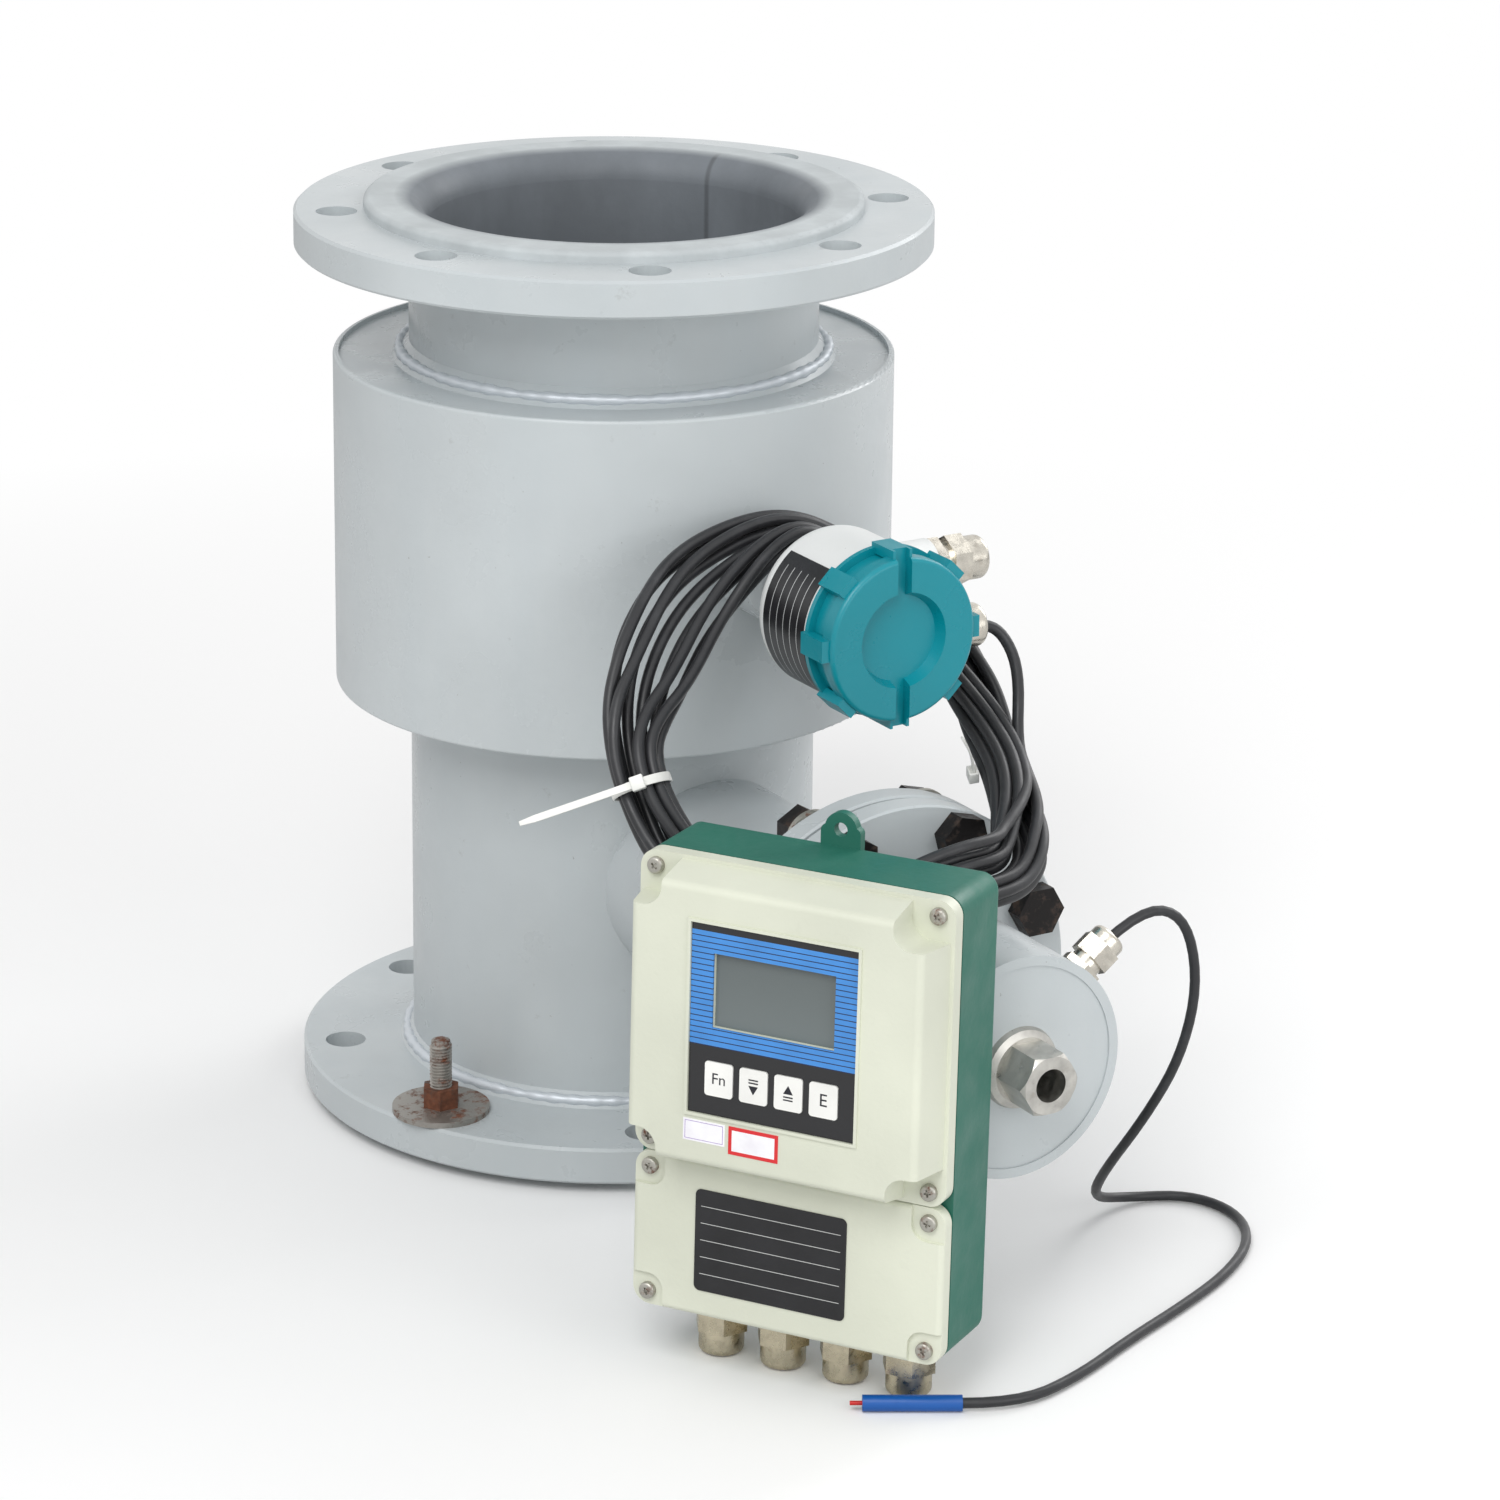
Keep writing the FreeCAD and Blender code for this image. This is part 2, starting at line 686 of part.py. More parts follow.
def magnet_system():
    """Two field coils on pole cores, front and rear, closed by a ring yoke inside the housing."""
    low = housing_middle - size.yoke_height / 2
    high = housing_middle + size.yoke_height / 2
    turned("magnetic_yoke", [(yoke_inside, low), (yoke_outside, low), (yoke_outside, high), (yoke_inside, high)])
    coil_face = pipe_radius + size.coil_gap
    rod = level_rod("pole_rod", size.pole_diameter / 2, yoke_outside, housing_middle)
    within = cylinder("pole_limit", yoke_inside, size.total_length, FreeCAD.Vector())
    tube = cylinder("pole_seat", pipe_radius, size.total_length, FreeCAD.Vector())
    reach = combine("Common", "pole_reach", rod, within)
    node(combine("Cut", "poles", reach, tube), "pole_cores")
    winding = level_rod("winding", size.coil_diameter / 2, coil_face + size.coil_thickness, housing_middle)
    between = level_rod("winding_gap", size.coil_diameter / 2, coil_face, housing_middle)
    bore = level_rod("winding_bore", size.pole_diameter / 2, yoke_outside, housing_middle)
    node(combine("Cut", "windings", winding, between, bore), "field_coils")


def turned_pair(label, points, frame):
    """Two equal turned pieces, one on each side of the frame's XY plane."""
    body = new_body(label, frame, group=True)
    sketch = sketch_on(body, "XZ")
    outline(sketch, points)
    outline(sketch, [(radius, -as_size(height)) for radius, height in reversed(points)])
    revolve(body, sketch)


def electrodes():
    """A measuring electrode on each side, in an insulating bush, held by its nut."""
    seat = bore_radius - size.electrode_seat
    head = seat - size.electrode_head_thickness
    collar = pipe_radius + size.bush_collar_thickness
    nut_end = collar + size.electrode_nut_thickness
    shaft = size.electrode_diameter / 2
    bush = size.bush_diameter / 2
    frame = FreeCAD.Placement(FreeCAD.Vector(0, 0, housing_middle.value), FreeCAD.Rotation(Z_AXIS, X_AXIS))
    turned_pair("measuring_electrodes", [
        (ZERO, head), (size.electrode_head / 2, head), (size.electrode_head / 2, seat), (shaft, seat),
        (shaft, nut_end + size.electrode_end), (ZERO, nut_end + size.electrode_end)], frame)
    turned_pair("electrode_bushes", [
        (shaft, pipe_inside), (bush, pipe_inside), (bush, pipe_radius), (size.bush_collar / 2, pipe_radius),
        (size.bush_collar / 2, collar), (shaft, collar)], frame)
    nuts = new_body("electrode_nuts", frame, group=True)
    for place, reverse in ((collar, False), (-collar, True)):
        sketch = sketch_on(nuts, "XY", place)
        hexagon(sketch, size.electrode_nut)
        circle(sketch, shaft)
        pad(nuts, sketch, size.electrode_nut_thickness, reverse)


# ---------------------------------------------------------------- cable glands

GLAND_SIZES = {
    "flats": size.gland_across_flats, "thread": size.gland_thread_diameter / 2,
    "thread_length": size.gland_thread_length, "hexagon": size.gland_hex_thickness,
    "collar": size.gland_collar_length, "nut": size.gland_nut_length, "nut_hexagon": size.gland_nut_hex,
    "edge": size.gland_edge}
LEVEL_GLAND_SIZES = {
    "flats": size.level_gland_flats, "thread": size.level_gland_thread / 2,
    "thread_length": size.branch_wall, "hexagon": size.level_gland_hex,
    "collar": size.gland_collar_length, "nut": size.level_gland_nut, "nut_hexagon": size.gland_nut_hex,
    "edge": size.gland_edge}
free_bore = size.gland_bore / 2
lead_bore = size.sensor_cable_diameter / 2 + size.cable_clearance
level_bore = size.level_cable_diameter / 2 + size.cable_clearance
gland_length = size.gland_hex_thickness + size.gland_collar_length + size.gland_nut_length


def glands(prefix, sizes, frame, stations, bore_radii):
    """Gland bodies and dome nuts on a wall at height 0 of the frame, pointing along its +Z."""
    group = len(stations) > 1
    body = new_body(prefix + ("_gland_bodies" if group else "_gland_body"), frame, group)
    collar_top = sizes["hexagon"] + sizes["collar"]
    hexes = sketch_on(body, "XY")
    collars = sketch_on(body, "XY", sizes["hexagon"])
    threads = sketch_on(body, "XY")
    bores = sketch_on(body, "XY")
    for across, passage in zip(stations, bore_radii):
        hexagon(hexes, sizes["flats"], across)
        circle(collars, sizes["flats"] * 0.42, across)
        circle(threads, sizes["thread"], across)
        circle(bores, passage, across)
    pad(body, hexes, sizes["hexagon"])
    pad(body, collars, sizes["collar"])
    pad(body, threads, sizes["thread_length"], reverse=True)
    through(body, bores)
    nut = new_body(prefix + ("_gland_nuts" if group else "_gland_nut"), frame, group)
    nut_hexes = sketch_on(nut, "XY", collar_top)
    domes = sketch_on(nut, "XY", collar_top)
    mouths = sketch_on(nut, "XY", collar_top)
    for across, passage in zip(stations, bore_radii):
        hexagon(nut_hexes, sizes["flats"], across)
        circle(domes, sizes["flats"] * 0.47, across)
        circle(mouths, passage, across)
    pad(nut, nut_hexes, sizes["nut_hexagon"])
    dome = pad(nut, domes, sizes["nut"])
    top = collar_top + sizes["nut"]
    fillet(nut, dome, flat_edges(dome, "Z", top), sizes["edge"])
    through(nut, mouths)


# ---------------------------------------------------------------- junction box

junction_radius = size.junction_diameter / 2
junction_front = size.junction_back + size.junction_length
cover_back = junction_front + size.seal_thickness
cover_front = cover_back + size.cover_depth
skirt_radius = size.thread_diameter / 2 - size.thread_clearance


def junction_neck():
    start = FreeCAD.Vector(0, 0, size.junction_height.value)
    outside = cylinder("neck_outside", size.neck_diameter / 2, size.junction_back, start, -Y_AXIS)
    inside = cylinder("neck_inside", size.neck_diameter / 2 - size.neck_wall, size.junction_back, start, -Y_AXIS)
    core = cylinder("neck_seat", housing_radius, size.total_length, FreeCAD.Vector(0, 0, 0))
    node(combine("Cut", "neck", outside, inside, core), "junction_neck")


def junction_box_body():
    """Round cast box: rounded back, two gland bosses on one side, threaded mouth."""
    body = new_body("junction_box_body", junction_frame)
    sketch = sketch_on(body, "XZ")
    outline(sketch, [
        (ZERO, size.junction_back), (junction_radius, size.junction_back),
        (junction_radius, junction_front), (ZERO, junction_front)])
    base = revolve(body, sketch)
    base = fillet(body, base, ring_edges(base, junction_radius, size.junction_back), size.junction_rounding)
    bosses = sketch_on(body, "YZ")
    bores = sketch_on(body, "YZ", size.boss_reach)
    for side in (-0.5, 0.5):
        place = size.junction_gland_pitch * side, size.junction_back + size.boss_station
        circle(bosses, size.boss_diameter / 2, *place)
        circle(bores, size.gland_thread_diameter / 2, *place)
    pad(body, bosses, size.boss_reach)
    hollow = sketch_on(body, "XZ")
    wall = size.junction_wall
    hollow_radius = junction_radius - wall - size.hollow_step
    thread = size.thread_diameter / 2
    seat = junction_front - size.thread_depth
    outline(hollow, [
        (ZERO, size.junction_back + wall), (hollow_radius, size.junction_back + wall),
        (hollow_radius, seat), (thread, seat), (thread, junction_front), (ZERO, junction_front)])
    revolve(body, hollow, "Groove")
    pocket(body, bores, size.boss_reach)
    wires = sketch_on(body, "XY", size.junction_back)
    circle(wires, size.wire_hole / 2)
    pocket(body, wires, wall, reverse=True)


def junction_cover():
    """Screwed cover: waisted wall with lugs, raised face ring, dished centre and two key slots."""
    body = new_body("junction_cover", junction_frame)
    rim = size.cover_rim_diameter / 2
    waist = size.cover_waist_diameter / 2
    face = size.cover_face_diameter / 2
    face_back = cover_front - size.cover_face_thickness
    skirt_end = cover_back - size.cover_skirt_depth
    skirt_inside = skirt_radius - size.cover_skirt_wall
    shell = sketch_on(body, "XZ")
    outline(shell, [
        (skirt_inside, skirt_end), (skirt_radius, skirt_end), (skirt_radius, cover_back), (rim, cover_back),
        (rim, cover_back + size.cover_rim_thickness), (waist, cover_back + size.cover_rim_thickness),
        (waist, face_back), (face, face_back), (face, cover_front), (ZERO, cover_front),
        (ZERO, face_back), (skirt_inside, face_back)])
    base = revolve(body, shell)
    base = fillet(body, base, ring_edges(base, face, cover_front), size.cover_face_rounding)
    lug = sketch_on(body, "XY", cover_back)
    half = size.cover_lug_width / 2
    rectangle(lug, size.cover_lug_diameter / 2 - half, size.cover_lug_diameter / 2, -half, half)
    lug_pad = pad(body, lug, size.cover_depth - size.cover_face_rounding)
    polar(body, [lug_pad], size.cover_lug_count)
    recess = sketch_on(body, "XZ")
    recess_radius = size.cover_recess_diameter / 2
    floor = cover_front - size.cover_recess_depth
    outline(recess, [
        (ZERO, floor), (recess_radius - size.cover_recess_slope, floor), (recess_radius, cover_front), (ZERO, cover_front)])
    revolve(body, recess, "Groove")
    slots = sketch_on(body, "XY", cover_front)
    slot = size.cover_slot_width / 2
    inner = recess_radius - size.cover_recess_slope * 2
    outer = size.cover_lug_diameter / 2 + size.cover_slot_width
    rectangle(slots, -slot, slot, inner, outer)
    rectangle(slots, -slot, slot, -outer, -inner)
    pocket(body, slots, size.cover_recess_depth)


def junction_box():
    junction_neck()
    junction_box_body()
    seal_inside = size.thread_diameter / 2
    seal_outside = seal_inside + size.seal_width
    turned("cover_seal", [
        (seal_inside, junction_front), (seal_outside, junction_front),
        (seal_outside, cover_back), (seal_inside, cover_back)], junction_frame)
    junction_cover()
    floor = size.junction_back + size.junction_wall
    block_body = new_body("junction_terminal_block", junction_frame)
    plan = sketch_on(block_body, "XY", floor)
    rectangle(plan, size.terminal_width * -0.5, size.terminal_width / 2, size.terminal_height * -0.5, size.terminal_height / 2)
    pad(block_body, plan, size.terminal_depth)
    screws = sketch_on(block_body, "XY", floor + size.terminal_depth)
    for number in range(4):
        circle(screws, size.terminal_height * 0.14, size.terminal_width * (number / 4 - 0.375))
    pocket(block_body, screws, size.terminal_depth / 4)
    lead_start = FreeCAD.Vector(0, -(yoke_outside + size.lead_gap).value, size.junction_height.value)
    lead_length = floor - size.lead_gap - yoke_outside - size.lead_gap
    node(cylinder("lead_rod", size.lead_diameter / 2, lead_length, lead_start, -Y_AXIS), "lead_wires")
    boss_frame = FreeCAD.Placement(
        FreeCAD.Vector(size.boss_reach.value, -(size.junction_back + size.boss_station).value, size.junction_height.value),
        FreeCAD.Rotation(Z_AXIS, X_AXIS))
    stations = [size.junction_gland_pitch * side for side in (-0.5, 0.5)]
    glands("junction", GLAND_SIZES, boss_frame, stations, [free_bore, lead_bore])
    side_label()


def side_label():
    """Curved plate on the box side, bent to its radius."""
    radius = junction_radius + size.label_gap
    start = size.junction_back + size.label_margin
    outside = cylinder("label_outside", radius + size.label_thickness, size.label_length, FreeCAD.Vector(0, 0, 0))
    outside.setExpression("Angle", size.label_sweep.text)
    inside = cylinder("label_inside", radius, size.label_length, FreeCAD.Vector(0, 0, 0))
    turn = FreeCAD.Placement(FreeCAD.Vector(0, 0, start.value), FreeCAD.Rotation(Z_AXIS, size.label_start.value))
    node(combine("Cut", "label", outside, inside), "junction_side_label", junction_frame * turn)


# ---------------------------------------------------------------- level branch

branch_radius = size.branch_diameter / 2
branch_inside = branch_radius - size.branch_wall
stub_face = size.branch_flange_back + size.branch_flange_thickness
level_back = stub_face + size.branch_gasket_thickness
level_face = level_back + size.branch_flange_thickness
level_end = level_face + size.level_housing_length


def branch_flange(label, sealing, welded, weld_way, bore):
    """Flange of the level branch: its sealing side, its welded side and its bolt holes."""
    outer = size.branch_flange_diameter / 2
    weld = size.branch_weld * weld_way
    points = [(bore, sealing), (outer, sealing), (outer, welded), (branch_radius + size.branch_weld, welded),
              (branch_radius, welded + weld)]
    if bore.value < branch_radius.value:
        points += [(branch_radius, welded), (bore, welded)]
    body = turned(label, points, branch_frame)
    base = body.Tip
    chamfer(body, base, ring_edges(base, outer, sealing) + ring_edges(base, outer, welded), size.flange_chamfer * 0.7)
    sketch = sketch_on(body, "XY", sealing)
    angle = math.pi / size.branch_bolt_count.value
    hole = (size.branch_bolt_diameter + size.branch_bolt_clearance) / 2
    reach = size.branch_bolt_circle / 2
    circle(sketch, hole, reach * math.cos(angle), reach * math.sin(angle))
    polar(body, [through(body, sketch)], size.branch_bolt_count)


def branch_fasteners():
    """Bolts with heads at the level side, washers and nuts at the stub side."""
    angle = math.pi / size.branch_bolt_count.value
    place = size.branch_bolt_circle * (math.cos(angle) / 2), size.branch_bolt_circle * (math.sin(angle) / 2)
    shank = size.branch_bolt_diameter / 2
    washer_back = size.branch_flange_back - size.bolt_washer_thickness
    nut_back = washer_back - size.bolt_nut_thickness
    bolts = new_body("branch_bolts", branch_frame, group=True)
    head = sketch_on(bolts, "XY", level_face)
    hexagon(head, size.bolt_head_flats, *place)
    rod = sketch_on(bolts, "XY", level_face)
    circle(rod, shank, *place)
    head_pad = pad(bolts, head, size.bolt_head_thickness)
    rod_pad = pad(bolts, rod, level_face - nut_back + size.bolt_spare, reverse=True)
    polar(bolts, [head_pad, rod_pad], size.branch_bolt_count)
    for label, level, thickness in (
            ("branch_washers", washer_back, size.bolt_washer_thickness),
            ("branch_nuts", nut_back, size.bolt_nut_thickness)):
        body = new_body(label, branch_frame, group=True)
        sketch = sketch_on(body, "XY", level)
        circle(sketch, shank, *place)
        if label == "branch_nuts":
            hexagon(sketch, size.bolt_head_flats, *place)
        else:
            circle(sketch, size.bolt_washer_diameter / 2, *place)
        polar(body, [pad(body, sketch, thickness)], size.branch_bolt_count)


def level_branch():
    start = FreeCAD.Vector(0, 0, size.branch_height.value)
    outside = cylinder("stub_outside", branch_radius, stub_face - size.branch_weld, start, -Y_AXIS)
    inside = cylinder("stub_inside", branch_inside, stub_face, start, -Y_AXIS)
    saddle = cylinder("stub_saddle", pipe_radius, size.total_length, FreeCAD.Vector(0, 0, 0))
    node(combine("Cut", "stub", outside, inside, saddle), "level_stub_pipe")
    branch_flange("stub_flange", stub_face, size.branch_flange_back, -1, branch_radius)
    branch_flange("level_flange", level_back, level_face, 1, size.sensor_diameter / 2)
    turned("branch_gasket", [
        (size.branch_gasket_bore / 2, stub_face), (size.branch_gasket_diameter / 2, stub_face),
        (size.branch_gasket_diameter / 2, level_back), (size.branch_gasket_bore / 2, level_back)], branch_frame)
    branch_fasteners()
    level_housing()


def level_housing():
    """Housing tube behind the flange, with the sunk end plate, hexagon coupling, sensor and gland."""
    gland_place = level_end - size.level_gland_setback
    tube = turned("level_housing_tube", [
        (branch_inside, level_face), (branch_radius, level_face), (branch_radius, level_end), (branch_inside, level_end)],
        branch_frame)
    angle = math.radians(size.level_gland_angle.value)
    side = FreeCAD.Vector(math.cos(angle), 0, math.sin(angle))
    boss_frame = FreeCAD.Placement(
        FreeCAD.Vector(0, -gland_place.value, size.branch_height.value) + side * branch_radius.value,
        FreeCAD.Rotation(Z_AXIS, side))
    NODES.remove(tube)
    tube.Label = "level_tube_blank"
    tool = cylinder("level_gland_hole", size.level_gland_thread / 2, branch_radius, boss_frame.Base - side * branch_inside.value, side)
    node(combine("Cut", "level_tube_cut", tube, tool), "level_housing_tube")
    glands("level", LEVEL_GLAND_SIZES, boss_frame, [ZERO], [level_bore])
    plate_face = level_end - size.level_plate_recess
    plate_back = plate_face - size.level_plate_thickness
    bore = size.coupling_bore / 2
    turned("level_end_plate", [
        (bore, plate_back), (branch_inside, plate_back), (branch_inside, plate_face), (bore, plate_face)], branch_frame)
    coupling = new_body("hex_coupling", branch_frame)
    plan = sketch_on(coupling, "XY", plate_face)
    hexagon(plan, size.coupling_flats, turn=math.pi / 6)
    pad(coupling, plan, size.coupling_length)
    collar = sketch_on(coupling, "XZ")
    foot = size.coupling_collar / 2
    outline(collar, [
        (bore, plate_face), (foot, plate_face), (foot - 1, plate_face + size.coupling_collar_height * 0.6),
        (foot - 4, plate_face + size.coupling_collar_height), (bore, plate_face + size.coupling_collar_height)])
    revolve(coupling, collar)
    end = plate_face + size.coupling_length
    crown = sketch_on(coupling, "XZ")
    corner = size.coupling_flats / math.sqrt(3)
    outline(crown, [
        (corner - size.coupling_chamfer, end), (corner + 1, end - size.coupling_chamfer - 1),
        (corner + 1, end + 1), (corner - size.coupling_chamfer, end + 1)])
    revolve(coupling, crown, "Groove")
    hole = sketch_on(coupling, "XY")
    circle(hole, bore)
    through(coupling, hole)
    shank = size.sensor_diameter / 2
    collar_end = level_face + size.sensor_collar_thickness
    turned("level_sensor", [
        (ZERO, level_back), (shank, level_back), (shank, level_face), (size.sensor_collar / 2, level_face),
        (size.sensor_collar / 2, collar_end), (size.sensor_can / 2, collar_end),
        (size.sensor_can / 2, collar_end + size.sensor_can_length), (ZERO, collar_end + size.sensor_can_length)],
        branch_frame)


# ---------------------------------------------------------------- stud left in the lower flange

def flange_stud():
    angle = math.radians(hole_turn * (2 * size.stud_hole_number.value - 1))
    reach = size.bolt_circle.value / 2
    place = FreeCAD.Vector(-reach * math.sin(angle), -reach * math.cos(angle), 0)
    frame = FreeCAD.Placement(place, FreeCAD.Rotation())
    top = lower_face + size.flange_thickness
    washer_top = top + size.stud_washer_thickness
    radius = size.stud_diameter / 2
    turned("flange_stud", [
        (ZERO, size.floor_gap), (radius, size.floor_gap), (radius, size.stud_length), (ZERO, size.stud_length)], frame)
    turned("stud_washer", [
        (radius, top), (size.stud_washer_diameter / 2, top), (size.stud_washer_diameter / 2, washer_top),
        (radius, washer_top)], frame)
    body = new_body("stud_nut", frame)
    sketch = sketch_on(body, "XY", washer_top)
    hexagon(sketch, size.stud_nut_flats)
    circle(sketch, radius)
    pad(body, sketch, size.stud_nut_thickness)


# ---------------------------------------------------------------- transmitter

def meter_placement():
    """Stands on its glands, leaning back against the edge of the level housing."""
    turn = math.radians(size.meter_turn.value)
    lean = math.radians(size.meter_lean.value)
    ahead = FreeCAD.Vector(math.sin(turn), -math.cos(turn), 0)
    along = FreeCAD.Vector(math.cos(turn), math.sin(turn), 0)
    normal = ahead * math.cos(lean) + Z_AXIS * math.sin(lean)
    rim_centre = FreeCAD.Vector(0, -level_end.value, size.branch_height.value)
    rim_reach = branch_radius.value * math.hypot(normal.x, normal.z)
    rest = rim_centre.dot(normal) + rim_reach + size.meter_gland_back.value + size.meter_rest_gap.value
    base = ahead * ((rest - size.floor_gap.value * math.sin(lean)) / math.cos(lean))
    base += along * size.meter_side_offset.value + Z_AXIS * size.floor_gap.value
    return FreeCAD.Placement(base, FreeCAD.Rotation(size.meter_turn.value, 0, -size.meter_lean.value))


# In the transmitter's own frame the front faces -Y, +Z is up and the glands stand at y = 0.
meter_frame = meter_placement()
half_width = size.meter_width / 2
box_foot = gland_length
box_top = box_foot + size.meter_height
parting = box_foot + size.parting_height
box_back = -size.meter_gland_back
box_front = box_back + size.box_depth
cover_seat = box_front + size.cover_gasket
rim_front = cover_seat + size.upper_flange_depth
upper_front = rim_front + size.upper_face_depth
upper_ceiling = upper_front - size.upper_wall
lower_front = cover_seat + size.lower_cover_depth
upper_foot = parting + size.parting_gap / 2
lower_top = parting - size.parting_gap / 2
upper_middle = (upper_foot + box_top) / 2
panel_middle = upper_middle + size.panel_rise
window_middle = panel_middle + size.window_rise
key_row = panel_middle - size.key_drop


def screw_circles(sketch, radius, low, high):
    across = half_width - size.screw_edge_x
    for level in (low + size.screw_edge_z, high - size.screw_edge_z):
        circle(sketch, radius, -across, level)
        circle(sketch, radius, across, level)


def corner_cuts(sketch, low, high, width, height, radius):
    """Round-cornered squares over the four corners, reaching beyond the cover."""
    inner = half_width - width
    outer = half_width + width
    for left, right in ((-outer, -inner), (inner, outer)):
        rounded_rectangle(sketch, left, right, low - height, low + height, radius)
        rounded_rectangle(sketch, left, right, high - height, high + height, radius)


def transmitter_box():
    """Cast back box: two compartments, screw bosses, gland holes and wall lugs."""
    body = new_body("transmitter_back_box", meter_frame)
    plan = sketch_on(body, "XZ", box_back)
    rounded_rectangle(plan, -half_width, half_width, box_foot, box_top, size.box_rounding)
    base = pad(body, plan, size.box_depth)
    fillet(body, base, flat_edges(base, "Y", -box_back), size.box_back_rounding)
    wall = size.box_wall
    divider = size.box_divider / 2
    rooms = sketch_on(body, "XZ", box_front)
    room_side = half_width - wall
    corner = size.box_rounding - wall
    rounded_rectangle(rooms, -room_side, room_side, box_foot + wall, parting - divider, corner)
    rounded_rectangle(rooms, -room_side, room_side, parting + divider, box_top - wall, corner)
    pocket(body, rooms, size.box_depth - wall)
    bosses = sketch_on(body, "XZ", box_back + wall)
    holes = sketch_on(body, "XZ", box_front)
    for low, high in ((box_foot, lower_top), (upper_foot, box_top)):
        screw_circles(bosses, size.box_boss / 2, low, high)
        screw_circles(holes, size.screw_shank / 2, low, high)
    posts = sketch_on(body, "XZ", box_back + wall)
    for across in (-0.42, 0.42):
        for level in (upper_middle - size.board_height * 0.42, upper_middle + size.board_height * 0.42):
            circle(posts, size.screw_shank, size.board_width * across, level)
    pad(body, bosses, size.box_depth - wall)
    pad(body, posts, size.board_standoff)
    pocket(body, holes, size.box_screw_depth)
    openings = sketch_on(body, "XY", box_foot)
    for number in range(4):
        circle(openings, size.gland_thread_diameter / 2, size.meter_gland_pitch * (number - 1.5))
    pocket(body, openings, size.gland_thread_length, reverse=True)
    for end, way in ((box_top, 1), (box_foot, -1)):
        wall_lug(body, end, way)


def wall_lug(body, end, way):
    """Mounting lug with a round head between two small shoulders."""
    half = size.lug_width / 2
    shoulder = size.lug_shoulder
    head = half - shoulder * 0.5
    eye = end + (size.lug_rise - head) * way
    root = end - size.box_rounding * way
    shoulders = sketch_on(body, "XZ", box_back)
    foot, crest = (root, eye - shoulder * 0.4 * way) if way > 0 else (eye - shoulder * 0.4 * way, root)
    rectangle(shoulders, -half, half, foot, crest)
    knobs = sketch_on(body, "XZ", box_back)
    for side in (-1, 1):
        circle(knobs, shoulder * 0.9, (half - shoulder * 0.9) * side, eye - shoulder * 0.4 * way)
    crown = sketch_on(body, "XZ", box_back)
    circle(crown, head, ZERO, eye)
    hole = sketch_on(body, "XZ", box_back)
    circle(hole, size.lug_hole / 2, ZERO, eye)
    for sketch in (shoulders, knobs, crown):
        pad(body, sketch, size.lug_thickness)
    pocket(body, hole, size.lug_thickness, reverse=True)


def upper_cover():
    """Raised cover with drafted sides, scooped screw corners and the framed panel seat."""
    body = new_body("transmitter_upper_cover", meter_frame)
    rim = sketch_on(body, "XZ", cover_seat)
    rounded_rectangle(rim, -half_width, half_width, upper_foot, box_top, size.box_rounding)
    pad(body, rim, size.upper_flange_depth)
    inset = size.upper_rim
    side = half_width - inset
    raised = sketch_on(body, "XZ", rim_front)
    rounded_rectangle(raised, -side, side, upper_foot + inset, box_top - inset, size.box_rounding)
    face = pad(body, raised, size.upper_face_depth, draft=-size.upper_draft)
    fillet(body, face, flat_edges(face, "Y", -upper_front), size.upper_face_rounding)
    scoops = sketch_on(body, "XZ", upper_front)
    corner_cuts(scoops, upper_foot, box_top, size.scoop_width, size.scoop_height, size.scoop_rounding)
    pocket(body, scoops, size.upper_face_depth)
    hollow = sketch_on(body, "XZ", cover_seat)
    slope = size.upper_face_depth * math.tan(math.radians(size.upper_draft.value))
    wall = inset + slope + size.upper_wall
    left = half_width - wall
    low, high = upper_foot + wall, box_top - wall
    notch = half_width - size.scoop_width - size.upper_wall
    low_notch = upper_foot + size.scoop_height + size.upper_wall
    high_notch = box_top - size.scoop_height - size.upper_wall
    outline(hollow, [
        (-notch, low), (notch, low), (notch, low_notch), (left, low_notch), (left, high_notch), (notch, high_notch),
        (notch, high), (-notch, high), (-notch, high_notch), (-left, high_notch), (-left, low_notch), (-notch, low_notch)])
    pocket(body, hollow, upper_ceiling - cover_seat, reverse=True)
    frame = sketch_on(body, "XZ", upper_front)
    seat = size.panel_width / 2, size.panel_height / 2
    rectangle(frame, -seat[0], seat[0], panel_middle - seat[1], panel_middle + seat[1])
    out = seat[0] + size.panel_frame, seat[1] + size.panel_frame
    rectangle(frame, -out[0], out[0], panel_middle - out[1], panel_middle + out[1])
    pad(body, frame, size.panel_frame_rise)
    recess = sketch_on(body, "XZ", upper_front)
    rectangle(recess, -seat[0], seat[0], panel_middle - seat[1], panel_middle + seat[1])
    pocket(body, recess, size.panel_recess)
    window = sketch_on(body, "XZ", upper_front)
    window_outline(window)
    pocket(body, window, size.upper_wall)
    holes = sketch_on(body, "XZ", rim_front)
    screw_circles(holes, size.screw_hole / 2, upper_foot, box_top)
    pocket(body, holes, size.upper_flange_depth)


def window_outline(sketch):
    half = size.window_width / 2
    rise = size.window_height / 2
    rectangle(sketch, -half, half, window_middle - rise, window_middle + rise)


